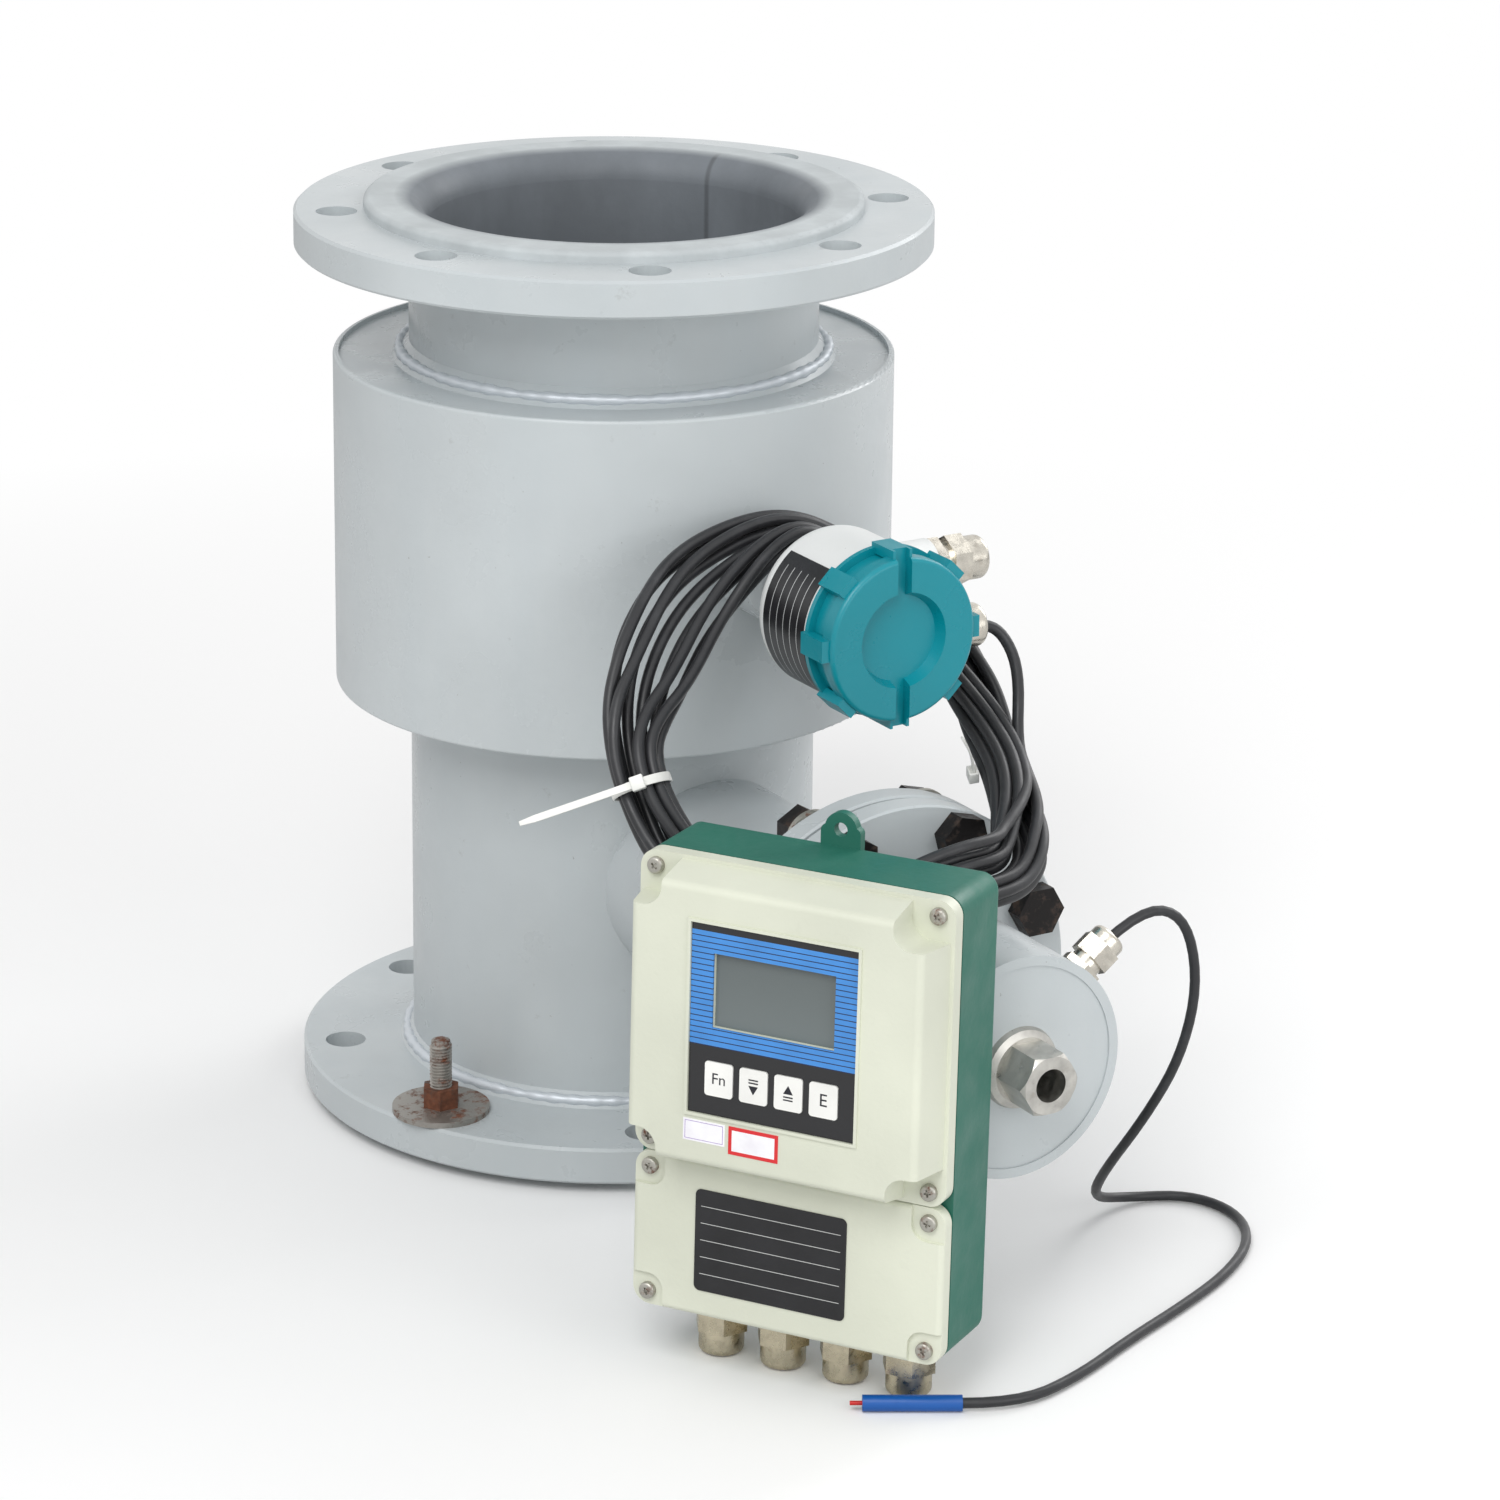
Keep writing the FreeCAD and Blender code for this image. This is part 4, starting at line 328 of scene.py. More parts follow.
def panel_print(colours):
    """Printed film: black head strip, blue field with fine lines, black key field."""
    up, origin = meter_axes()[1:]
    low, high = meter_box("panel_overlay")
    finish = Finish("panel_print", roughness=0.28, Specular_IOR_Level=0.6)
    height = finish.along(up, origin)
    field_low = low.z + 34 * MM
    field_high = high.z - 3.6 * MM
    lines = finish.ruled(height, field_low, field_high, 20, 0.17)
    field = finish.mix(lines, finish.mottled(colours.blue, 0.92, 1.06, 60, 3), colours.navy)
    on_field = finish.within(height, field_low, field_high)
    finish.feed("Base Color", finish.mix(on_field, colours.black, field))
    finish.bump(finish.noise(300, 2), 0.05, 0.0002)
    return finish.material


def display_glass(colours):
    """Switched-off display with painted shading: a little paler towards its foot and darker towards its
    top.
    """
    up, origin = meter_axes()[1:]
    low, high = meter_box("display_module")
    finish = Finish("display", roughness=0.12)
    # painted shading: the display's one colour is made paler at its foot and darker at its top
    rise = finish.span(finish.along(up, origin), low.z, high.z)
    finish.feed("Base Color", finish.mix(rise, shade(colours.display, 1.12), shade(colours.display, 0.82)))
    finish.bump(finish.noise(200, 3), 0.03, 0.0003)
    return finish.material


def stickers():
    """Two blank white labels, one with a thin violet rule and one with a red border."""
    across, up, origin = meter_axes()
    low, high = meter_box("cover_stickers")
    finish = Finish("stickers", roughness=0.45)
    x = finish.along(across, origin)
    z = finish.along(up, origin)
    split = low.x + 23 * MM

    def inside(left, right, bottom, top):
        return finish.math("MULTIPLY", finish.within(x, left, right), finish.within(z, bottom, top))

    small_low = high.z - 11 * MM
    rule_outer = inside(low.x + 0.9 * MM, split - 1.9 * MM, small_low + 0.9 * MM, high.z - 0.9 * MM)
    rule_inner = inside(low.x + 1.2 * MM, split - 2.2 * MM, small_low + 1.2 * MM, high.z - 1.2 * MM)
    rule = finish.math("SUBTRACT", rule_outer, rule_inner)
    in_border = inside(split + 2.8 * MM, high.x - 1.8 * MM, low.z + 1.8 * MM, high.z - 1.8 * MM)
    cloud = finish.span(finish.noise(90, 3), 0.3, 0.7)
    paper = finish.mix(cloud, linear(236, 234, 240), linear(250, 250, 252))
    first = finish.mix(rule, paper, linear(150, 120, 190))
    second = finish.mix(in_border, linear(215, 40, 45), paper)
    finish.feed("Base Color", finish.mix(finish.math("GREATER_THAN", x, split), first, second))
    finish.bump(finish.noise(300, 2), 0.05, 0.0001)
    return finish.material


def plate_print(colours):
    """Bare nameplate: black film with thin pale rules between blank rows."""
    across, up, origin = meter_axes()
    low, high = meter_box("nameplate")
    finish = Finish("black_plate", roughness=0.3)
    x = finish.along(across, origin)
    z = finish.along(up, origin)
    edge = 3 * MM
    inside = finish.math("MULTIPLY", finish.within(x, low.x + edge, high.x - edge),
                         finish.within(z, low.z + edge, high.z - edge))
    rules = finish.math("MULTIPLY", finish.ruled(z, low.z, high.z, 6, 0.035), inside)
    film = finish.mottled(colours.black, 0.7, 1.5, 40)
    finish.feed("Base Color", finish.mix(rules, film, linear(206, 208, 206)))
    finish.bump(finish.noise(260, 3), 0.06, 0.0002)
    return finish.material


def label_print(colours):
    """Bare curved label of the round box: black film with thin pale rules along it."""
    low, high = (Vector(corner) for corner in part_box("junction_side_label"))
    finish = Finish("label_print", roughness=0.32)
    y = finish.along((0, 1, 0))
    z = finish.along((0, 0, 1))
    end = 5 * MM
    side = 2 * MM
    inside = finish.math("MULTIPLY", finish.within(z, low.z + end, high.z - end),
                         finish.within(y, low.y + side, high.y - side))
    rules = finish.math("MULTIPLY", finish.ruled(y, low.y, high.y, 6, 0.07), inside)
    film = finish.mottled(colours.black, 0.7, 1.6, 60)
    finish.feed("Base Color", finish.mix(rules, film, linear(196, 198, 198)))
    finish.bump(finish.noise(260, 3), 0.06, 0.0002)
    return finish.material


def dress(material, node):
    """Gives a material to a piece of the frame."""
    mesh = frame["nodes"][node].data
    mesh.materials.clear()
    mesh.materials.append(material)


# ---------------------------------------------------------------- places

def meter_matrix():
    """The transmitter's own frame: front to -Y, +Z up its back box, glands at y = 0."""
    up = -Vector(MOUNTS["transmitter_gland_1"]["axis"])
    inwards = -Vector(MOUNTS["transmitter_upper_lug"]["axis"])
    across = inwards.cross(up)
    half_length = MOUNTS["transmitter_gland_1"]["dims"]["length_mm"] * MM / 2
    first = Vector(MOUNTS["transmitter_gland_1"]["pos_m"])
    last = Vector(MOUNTS["transmitter_gland_4"]["pos_m"])
    origin = (first + last) / 2 - up * half_length
    turn = Matrix((across, inwards, up)).transposed().to_4x4()
    return Matrix.Translation(origin) @ turn


def meter_axes():
    place = meter_matrix()
    return place.col[0].to_3d(), place.col[2].to_3d(), place.translation


def meter_box(node):
    """Lowest and highest corner of a node, in the transmitter's own frame."""
    back = meter_matrix().inverted()
    places = [back @ vertex.co for vertex in frame["nodes"][node].data.vertices]
    low = Vector(min(place[axis] for place in places) for axis in range(3))
    high = Vector(max(place[axis] for place in places) for axis in range(3))
    return low, high


# ---------------------------------------------------------------- modelling

def nothing_selected():
    bpy.ops.object.select_all(action="DESELECT")


def primitive(kind, **settings):
    """Adds a mesh primitive with nothing else selected."""
    nothing_selected()
    getattr(bpy.ops.mesh, "primitive_%s_add" % kind)(**settings)
    piece = bpy.context.object
    bpy.ops.object.transform_apply(location=True, rotation=True, scale=True)
    return piece


def block(low, high):
    """A box between two corners."""
    low = Vector(low)
    high = Vector(high)
    piece = primitive("cube", size=1)
    piece.matrix_world = Matrix.Translation((low + high) / 2) @ Matrix.Diagonal((*(high - low), 1))
    bpy.ops.object.transform_apply(location=True, rotation=True, scale=True)
    return piece


def activate(piece):
    nothing_selected()
    piece.select_set(True)
    bpy.context.view_layer.objects.active = piece


def choose(piece, kind, wanted):
    """In edit mode, selects the elements of one kind that are wanted, and nothing else."""
    bpy.ops.mesh.select_mode(type=kind)
    bpy.ops.mesh.select_all(action="DESELECT")
    shape = bmesh.from_edit_mesh(piece.data)
    elements = {"FACE": shape.faces, "EDGE": shape.edges, "VERT": shape.verts}[kind]
    for element in elements:
        if wanted(element):
            element.select_set(True)
    bmesh.update_edit_mesh(piece.data)


def editing(piece):
    activate(piece)
    bpy.ops.object.mode_set(mode="EDIT")


def done_editing():
    bpy.ops.object.mode_set(mode="OBJECT")


def apply_modifier(piece, kind, **settings):
    activate(piece)
    modifier = piece.modifiers.new(kind.lower(), kind)
    for name, value in settings.items():
        setattr(modifier, name, value)
    bpy.ops.object.modifier_apply(modifier=modifier.name)


def carve(piece, tool):
    """Cuts a tool's form out of the piece and uses the tool up."""
    apply_modifier(piece, "BOOLEAN", object=tool, operation="DIFFERENCE", solver="EXACT")
    bpy.data.objects.remove(tool)


def copied(piece, place):
    """A copy with its own mesh, moved by a matrix."""
    copy = piece.copy()
    copy.data = piece.data.copy()
    bpy.context.collection.objects.link(copy)
    copy.data.transform(place)
    return copy


def joined(pieces):
    nothing_selected()
    for piece in pieces:
        piece.select_set(True)
    bpy.context.view_layer.objects.active = pieces[0]
    if len(pieces) > 1:
        bpy.ops.object.join()
    return pieces[0]


def smoothed(piece, angle=35):
    activate(piece)
    bpy.ops.object.shade_smooth_by_angle(angle=math.radians(angle))


def settle(piece, name, material, body="meter", place=None):
    """Names the piece, puts its mesh in place, gives it its finish and lets it ride."""
    if place is not None:
        piece.data.transform(place)
    piece.name = name
    piece.data.name = name
    piece.data.materials.clear()
    piece.data.materials.append(material)
    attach(piece, body)


# ---------------------------------------------------------------- the hanging coil

SENSOR_LEAD = ((66, -238, 315), (82, -238, 315), (93, -241, 308), (97, -250, 290))
COIL_PLACES = (
    (0, -182, 363), (-53, -189, 346), (-95, -212, 317), (-124, -240, 278), (-112, -278, 226),
    (-74, -326, 202), (-6, -342, 221), (38, -334, 221), (59, -309, 236), (74, -268, 254), (80, -227, 282),
    (69, -200, 310), (38, -187, 338))
LEVEL_ROUTE = (
    (61.5, -382.5, 193.3), (84, -382.5, 208), (108, -385, 200), (116, -387, 164), (110, -383, 124),
    (99, -369, 88), (95, -338, 46), (114, -304, 16), (146, -288, 3.2), (178, -302, 3.2), (186, -334, 3.2),
    (170, -366, 3.2), (136, -392, 3.2), (94, -412, 3.2), (50, -430, 3.2), (4, -452, 3.2), (-38, -464, 4.4),
    (-61.6, -450.6, 4.4))
# Shares of the way round the loop, from its top.
LEFT_TIE = 0.25
RIGHT_TIE = 0.677
COIL_START = 0.7
UNFINISHED_TURN = 0.72
# The strands: points in a turn, slot of the first turn, then millimetres.
POINTS_A_TURN = 36
FIRST_SLOT = 2.1
TIED_RADIUS = 10.3
SWAY = 0.5
CROSSING_ASIDE = 14
CROSSING_FORWARD = 7
TILT_AT_TOP = math.radians(45)
TOWARDS_FRONT = Vector((0, -0.69, 0.72)).normalized()


def eased(value, low, high):
    """Nothing below a range, one above it, and a soft rise between."""
    value = min(1.0, max(0.0, (value - low) / (high - low)))
    return value * value * (3 - 2 * value)


def loop_centre(share):
    """Middle of the bundle at a share of the way round the loop."""
    count = len(COIL_PLACES)
    step = (share % 1) * count
    first = int(step)
    u = step - first
    before, start, end, after = (Vector(COIL_PLACES[(first + k) % count]) for k in (-1, 0, 1, 2))
    return 0.5 * (2 * start + (end - before) * u + (2 * before - 5 * start + 4 * end - after) * u * u
                  + (3 * start - before - 3 * end + after) * u * u * u)


def loop_frame(share):
    """Middle of the bundle, its heading, its width direction and the way to its front."""
    centre = loop_centre(share)
    heading = (loop_centre(share + 0.002) - loop_centre(share - 0.002)).normalized()
    front = (TOWARDS_FRONT - heading * heading.dot(TOWARDS_FRONT)).normalized()
    return centre, heading, front.cross(heading), front


def near(share, place, reach):
    """One at a place on the loop, fading to nothing at its reach."""
    away = abs((share - place + 0.5) % 1 - 0.5)
    return 1 - eased(away, 0, reach)


def bundle_shape(share):
    """Half the straight length of the bundle's section, and the radius of its ends."""
    tied = max(near(share, LEFT_TIE, 0.1), near(share, RIGHT_TIE, 0.12))
    half = (9 + 9 * near(share, 0.12, 0.25)) * (1 - tied)
    loose_radius = 4.2 - 0.8 * near(share, 0, 0.1)
    return half, TIED_RADIUS * tied + loose_radius * (1 - tied)


def strand_place(slot, count, half, radius):
    """Place of a strand on the bundle's outline, as width and depth."""
    outline = 4 * half + 2 * math.pi * radius
    way = (slot / count) % 1 * outline
    if way < 2 * half:
        return half - way, radius
    way -= 2 * half
    if way < math.pi * radius:
        turn = way / radius
        return -half - radius * math.sin(turn), radius * math.cos(turn)
    way -= math.pi * radius
    if way < 2 * half:
        return way - half, -radius
    turn = (way - 2 * half) / radius
    return half + radius * math.sin(turn), -radius * math.cos(turn)


def sensor_cable_places(turns):
    """Points of the sensor cable: its lead, its turns side by side, and its last stretch across them."""
    places = [Vector(place) for place in SENSOR_LEAD]
    length = turns - UNFINISHED_TURN
    for step in range(round(length * POINTS_A_TURN) + 1):
        turned = step / POINTS_A_TURN
        share = COIL_START - turned
        centre, _, width, front = loop_frame(share)
        half, radius = bundle_shape(share)
        tied = max(near(share, LEFT_TIE, 0.1), near(share, RIGHT_TIE, 0.08))
        wander = 0.12 * math.sin(2 * math.pi * share) + 0.05 * math.sin(6 * math.pi * share)
        across, deep = strand_place(turned + wander + FIRST_SLOT, turns, half, radius)
        across += SWAY * math.sin(5.1 * turned + 1.3) * (1 - tied)
        tilt = TILT_AT_TOP * near(share, 0, 0.12)
        crossing = eased(turned, length - 0.25, length - 0.12)
        across += CROSSING_ASIDE * crossing
        deep += CROSSING_FORWARD * crossing
        sideways = width * math.cos(tilt) + front * math.sin(tilt)
        outwards = front * math.cos(tilt) - width * math.sin(tilt)
        places.append(centre + sideways * across + outwards * deep)
    return places


def cord_curve(name, places, thickness, material):
    """A smooth cord through listed points, given in millimetres."""
    curve = bpy.data.curves.new(name, "CURVE")
    curve.dimensions = "3D"
    curve.resolution_u = 5
    curve.bevel_depth = thickness / 2
    curve.bevel_resolution = 4
    curve.use_fill_caps = True
    spline = curve.splines.new("NURBS")
    spline.points.add(len(places) - 1)
    for point, place in zip(spline.points, places):
        point.co = (*(Vector(place) * MM), 1)
    spline.order_u = 3
    spline.use_endpoint_u = True
    curve.materials.append(material)
    cord = bpy.data.objects.new(name, curve)
    bpy.context.collection.objects.link(cord)
    return cord


def spline_length(cord):
    """Length of the cord's own line."""
    line = cord.copy()
    line.data = cord.data.copy()
    line.data.bevel_depth = 0
    bpy.context.collection.objects.link(line)
    mesh = bpy.data.meshes.new_from_object(line)
    places = [vertex.co.copy() for vertex in mesh.vertices]
    bpy.data.objects.remove(line)
    bpy.data.meshes.remove(mesh)
    return sum((end - start).length for start, end in zip(places, places[1:]))


# ---------------------------------------------------------------- fine pieces

def tie_band(name, share, tail, tail_turn, droop):
    """A cable tie round the bundle: band, head and tail."""
    inner = 14.3 * MM
    thickness = 1.2 * MM
    width = 4.6 * MM
    tail_width = 3.6 * MM
    nothing_selected()
    bpy.ops.mesh.primitive_circle_add(vertices=72, radius=inner + thickness / 2, fill_type="NOTHING",
                                      location=(0, 0, -width / 2))
    band = bpy.context.object
    bpy.ops.object.transform_apply(location=True)
    editing(band)
    bpy.ops.mesh.select_all(action="SELECT")
    bpy.ops.mesh.extrude_region_move(TRANSFORM_OT_translate={"value": (0, 0, width)})
    bpy.ops.mesh.select_all(action="SELECT")
    bpy.ops.mesh.normals_make_consistent(inside=False)
    done_editing()
    apply_modifier(band, "SOLIDIFY", thickness=thickness, offset=0)
    apply_modifier(band, "BEVEL", width=0.3 * MM, segments=2, limit_method="ANGLE")
    head = block((inner, -3.4 * MM, -3.6 * MM), (inner + 5.2 * MM, 3.4 * MM, 3.6 * MM))
    editing(head)
    choose(head, "FACE", lambda face: face.normal.y > 0.9)
    bpy.ops.mesh.inset(thickness=1.3 * MM)
    bpy.ops.mesh.extrude_region_move(TRANSFORM_OT_translate={"value": (0, -1.2 * MM, 0)})
    done_editing()
    apply_modifier(head, "BEVEL", width=0.6 * MM, segments=3, limit_method="ANGLE")
    nothing_selected()
    bpy.ops.mesh.primitive_plane_add(size=1)
    strip = bpy.context.object
    strip.data.transform(Matrix.Translation((0, tail / 2, 0)) @ Matrix.Diagonal((1, tail, 1, 1)))
    strip.data.transform(Matrix.Rotation(math.pi / 2, 4, "Y") @ Matrix.Diagonal((tail_width, 1, 1, 1)))
    editing(strip)
    bpy.ops.mesh.select_all(action="SELECT")
    bpy.ops.mesh.subdivide(number_cuts=15)
    done_editing()
    for vertex in strip.data.vertices:
        way = vertex.co.y / tail
        vertex.co.z *= 1 - 0.35 * eased(way, 0.85, 1)
        vertex.co.x += droop * way * way
    apply_modifier(strip, "SOLIDIFY", thickness=1.1 * MM, offset=0)
    apply_modifier(strip, "BEVEL", width=0.25 * MM, segments=2, limit_method="ANGLE")
    strip.data.transform(Matrix.Translation((inner + 2.2 * MM, 1 * MM, 0)))
    tie = joined([band, head, strip])
    tie.name = name
    centre, heading, across, front = loop_frame(share)
    turn = Matrix((across, front, heading)).transposed().to_4x4() @ Matrix.Rotation(tail_turn, 4, "Z")
    tie.data.transform(Matrix.Translation(centre * MM) @ turn)
    smoothed(tie)
    return tie


def cover_screw(sizes):
    """A pan head with a cross recess, its seat at the origin and its top towards -Y."""
    radius = 4.2 * MM
    height = 2.8 * MM
    dome = 0.35 * MM
    arm = 2.5 * MM
    screw = primitive("cylinder", vertices=48, radius=radius, depth=height, location=(0, 0, height / 2))
    editing(screw)
    choose(screw, "FACE", lambda face: face.normal.z > 0.9)
    bpy.ops.mesh.inset(thickness=1.1 * MM)
    bpy.ops.transform.translate(value=(0, 0, dome))

    def on_rim(vert):
        return abs(vert.co.z - height) < 1e-6 and vert.co.to_2d().length > radius * 0.95

    choose(screw, "EDGE", lambda edge: all(on_rim(vert) for vert in edge.verts))
    bpy.ops.mesh.bevel(offset=0.9 * MM, segments=5)
    done_editing()
    top = height + dome
    for turn in (0, math.pi / 2):
        tool = block((-arm, -sizes.recess_width / 2, top - sizes.recess_depth),
                     (arm, sizes.recess_width / 2, top + 1 * MM))
        for vertex in tool.data.vertices:
            if vertex.co.z < top:
                vertex.co.x *= 0.45
        tool.data.transform(Matrix.Rotation(turn, 4, "Z"))
        carve(screw, tool)
    smoothed(screw)
    screw.data.transform(Matrix.Rotation(math.pi / 2, 4, "X"))
    return screw


def weld_bead(radius, height, thickness):
    """A ring of weld with a rippled top, round the measuring tube."""
    bead = primitive("torus", major_radius=radius * MM, minor_radius=thickness * MM,
                     major_segments=int(radius * 3.4), minor_segments=10)
    for vertex in bead.data.vertices:
        turn = math.atan2(vertex.co.y, vertex.co.x)
        ring = vertex.co.to_2d().length - radius * MM
        ripple = 1 + 0.13 * math.sin(turn * radius * 1.7)
        ripple += 0.1 * math.sin(turn * 11 + 1) + 0.07 * math.sin(turn * 23)
        scale = (radius * MM + ring * ripple) / vertex.co.to_2d().length
        vertex.co.x *= scale
        vertex.co.y *= scale
        vertex.co.z *= ripple
    bead.data.transform(Matrix.Translation((0, 0, height * MM)))
    smoothed(bead, 80)
    return bead


def printed(text, size, place, sizes):
    """A legend as a thin raised print that faces -Y."""
    nothing_selected()
    bpy.ops.object.text_add()
    legend = bpy.context.object
    legend.data.body = text
    legend.data.size = size * MM
    legend.data.align_x = "CENTER"
    legend.data.align_y = "CENTER"
    legend.data.extrude = sizes.legend_rise / 2
    bpy.ops.object.convert(target="MESH")
    legend = bpy.context.object
    legend.data.transform(Matrix.Translation(Vector(place)) @ Matrix.Rotation(math.pi / 2, 4, "X"))
    return legend


def arrow(up, place, sizes):
    """A triangle with two bars on its flat side, as a thin raised print that faces -Y."""
    nothing_selected()
    bpy.ops.mesh.primitive_circle_add(vertices=3, radius=2.9 * MM, fill_type="NGON")
    head = bpy.context.object
    apply_modifier(head, "SOLIDIFY", thickness=sizes.legend_rise, offset=0)
    half = sizes.legend_rise / 2
    bars = []
    for low in (-3.3 * MM, -4.8 * MM):
        bars.append(block((-2.5 * MM, low, -half), (2.5 * MM, low + 0.7 * MM, half)))
    legend = joined([head, *bars])
    if not up:
        legend.data.transform(Matrix.Rotation(math.pi, 4, "Z"))
    legend.data.transform(Matrix.Translation(Vector(place)) @ Matrix.Rotation(math.pi / 2, 4, "X"))
    return legend


def stud_core(radius, length):
    """A rod with bevelled ends, from the origin up."""
    core = primitive("cylinder", vertices=48, radius=radius, depth=length, location=(0, 0, length / 2))
    editing(core)

    def at_end(vert):
        return vert.co.z > length - 1e-6 or vert.co.z < 1e-6

    choose(core, "EDGE", lambda edge: all(at_end(vert) for vert in edge.verts))
    bpy.ops.mesh.bevel(offset=0.8 * MM, segments=2)
    done_editing()
    return core


def thread_ridge(radius, length, sizes):
    """The ridge of a thread, wound up a rod from its foot."""
    nothing_selected()
    bpy.ops.mesh.primitive_plane_add(size=1)
    ridge = bpy.context.object
    editing(ridge)
    bpy.ops.mesh.select_all(action="SELECT")
    bpy.ops.mesh.delete(type="ONLY_FACE")
    done_editing()
    root = radius - sizes.thread_depth * 1.1
    half = sizes.thread_pitch * 0.46
    profile = ((root, 0, -half), (radius, 0, -0.1 * half), (root, 0, half), (radius, 0, 0.1 * half))
    for vertex, place in zip(ridge.data.vertices, profile):
        vertex.co = place
    turns = int((length - 3 * MM) / sizes.thread_pitch)
    apply_modifier(ridge, "SCREW", screw_offset=sizes.thread_pitch, iterations=turns, steps=28,
                   render_steps=28, axis="Z", use_smooth_shade=True)
    ridge.data.transform(Matrix.Translation((0, 0, 1.5 * MM)))
    return ridge


# ---------------------------------------------------------------- operators

class METER_OT_finishes(bpy.types.Operator):
    """Gives each piece of the frame its finish"""

    bl_idname = "meter.finishes"
    bl_label = "Finishes"

    def execute(self, context):
        colours = context.scene.meter_colours
        of_slot = {
            "grey_paint": grey_paint(colours),
            "black_rubber": cable_rubber(colours),
            "soft_iron": metal("soft_iron", linear(120, 120, 122), 0.45),
            "copper": metal("copper_wire", linear(184, 104, 66), 0.35),
            "stainless": metal("stainless", linear(190, 188, 184), 0.3, stained=0.1),
            "insulator": plastic("insulator", linear(216, 214, 206)),
            "junction_white": painted("junction_white", colours.junction, 0.32, 0.1, 0.14),
            "teal_cover": painted("teal_paint", colours.teal, 0.3, 0.16, 0.12, (30, 70, 74)),
            "orange_rubber": plastic("orange_rubber", colours.gasket, 0.5),
            "lead_red": plastic("lead_red", linear(200, 34, 30)),
            "nickel_brass": metal("nickel", colours.nickel, 0.24, (124, 96, 66), 0.25),
            "brass": metal("gland_brass", colours.brass, 0.26, (120, 98, 66), 0.2),
            "dark_bolts": rusty("black_oxide", colours.oxide, linear(66, 52, 44), 0.3),
            "zinc": rusty("zinc_steel", colours.zinc, colours.rust, 0.25),
            "rusty_steel": rusty("rusty_steel", linear(92, 78, 70), colours.rust, 0.85),
            "green_casting": painted("green_paint", colours.green, 0.42, 0.2, 0.12, (20, 60, 50)),
            "pale_cover": painted("cream_paint", colours.cream, 0.4, 0.22, 0.1, (170, 172, 156)),
            "blue_overlay": panel_print(colours),
            "white_key": plastic("key_white", linear(240, 240, 236), 0.35),
            "display_grey": display_glass(colours),
            "circuit_green": plastic("circuit_green", linear(30, 110, 60), 0.3),
            "black_plate": plate_print(colours),
            "white_plastic": plastic("tie_white", linear(232, 232, 228), 0.3),
            "blue_sleeve": plastic("blue_sleeve", colours.sleeve, 0.35, 250, 0.3),
        }
        for piece in frame["record"]["subparts"]:
            dress(of_slot[piece["material_slot"]], piece["node"])
        dress(liner_rubber(colours), "rubber_liner")
        dress(bpy.data.materials["black_oxide"], "branch_nuts")
        dress(metal("coupling_steel", linear(206, 204, 198), 0.36, (150, 140, 126), 0.3), "hex_coupling")
        dress(rusty("stained_steel", linear(160, 156, 150), colours.rust, 0.35), "stud_washer")
        dress(stickers(), "cover_stickers")
        dress(label_print(colours), "junction_side_label")
        return {"FINISHED"}


class METER_OT_sensor_cable(bpy.types.Operator):
    """Winds the coiled sensor cable from its gland over the neck"""

    bl_idname = "meter.sensor_cable"
    bl_label = "Sensor cable"

    def execute(self, context):
        sizes = context.scene.meter_sizes
        cord = cord_curve("sensor_cable", sensor_cable_places(sizes.turns), sizes.sensor_cable,
                          bpy.data.materials["cable_rubber"])
        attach(cord, "meter")
        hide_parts("sensor_cable_lead", "sensor_cable_coil")
        spline_length(cord)
        return {"FINISHED"}


class METER_OT_cable_ties(bpy.types.Operator):
    """Binds the coil at its two sides"""

    bl_idname = "meter.cable_ties"
    bl_label = "Cable ties"

    def execute(self, context):
        plastic_white = bpy.data.materials["tie_white"]
        left = tie_band("left_tie", LEFT_TIE, 60 * MM, math.radians(124), 3 * MM)
        right = tie_band("right_tie", RIGHT_TIE, 26 * MM, math.radians(-20), 6 * MM)
        ties = joined([left, right])
        settle(ties, "coil_ties", plastic_white)
        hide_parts("cable_ties")
        return {"FINISHED"}


class METER_OT_level_cable(bpy.types.Operator):
    """Lays the level sensor's cable down to the floor and in front of the meter"""

    bl_idname = "meter.level_cable"
    bl_label = "Level cable"

    def execute(self, context):
        sizes = context.scene.meter_sizes
        cord = cord_curve("level_sensor_cable", LEVEL_ROUTE, sizes.level_cable,
                          bpy.data.materials["cable_rubber"])
        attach(cord, "meter")
        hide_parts("level_cable")
        spline_length(cord)
        return {"FINISHED"}


class METER_OT_cover_screws(bpy.types.Operator):
    """Sets the eight cross-recessed screws in the transmitter's covers"""

    bl_idname = "meter.cover_screws"
    bl_label = "Cover screws"

    def execute(self, context):
        screw = cover_screw(context.scene.meter_sizes)
        seats = {"transmitter_upper_cover": -36 * MM, "transmitter_lower_cover": -35 * MM}
        from_side = 8.5 * MM
        from_end = 7.5 * MM
        copies = []
        for cover, seat in seats.items():
            low, high = meter_box(cover)
            for x in (low.x + from_side, high.x - from_side):
                for z in (low.z + from_end, high.z - from_end):
                    spin = Matrix.Rotation(len(copies) * 0.7, 4, "Y")
                    copies.append(copied(screw, Matrix.Translation((x, seat, z)) @ spin))
        bpy.data.objects.remove(screw)
        screws = joined(copies)
        settle(screws, "cover_screw_heads", bpy.data.materials["zinc_steel"], place=meter_matrix())
        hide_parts("cover_screws")
        return {"FINISHED"}


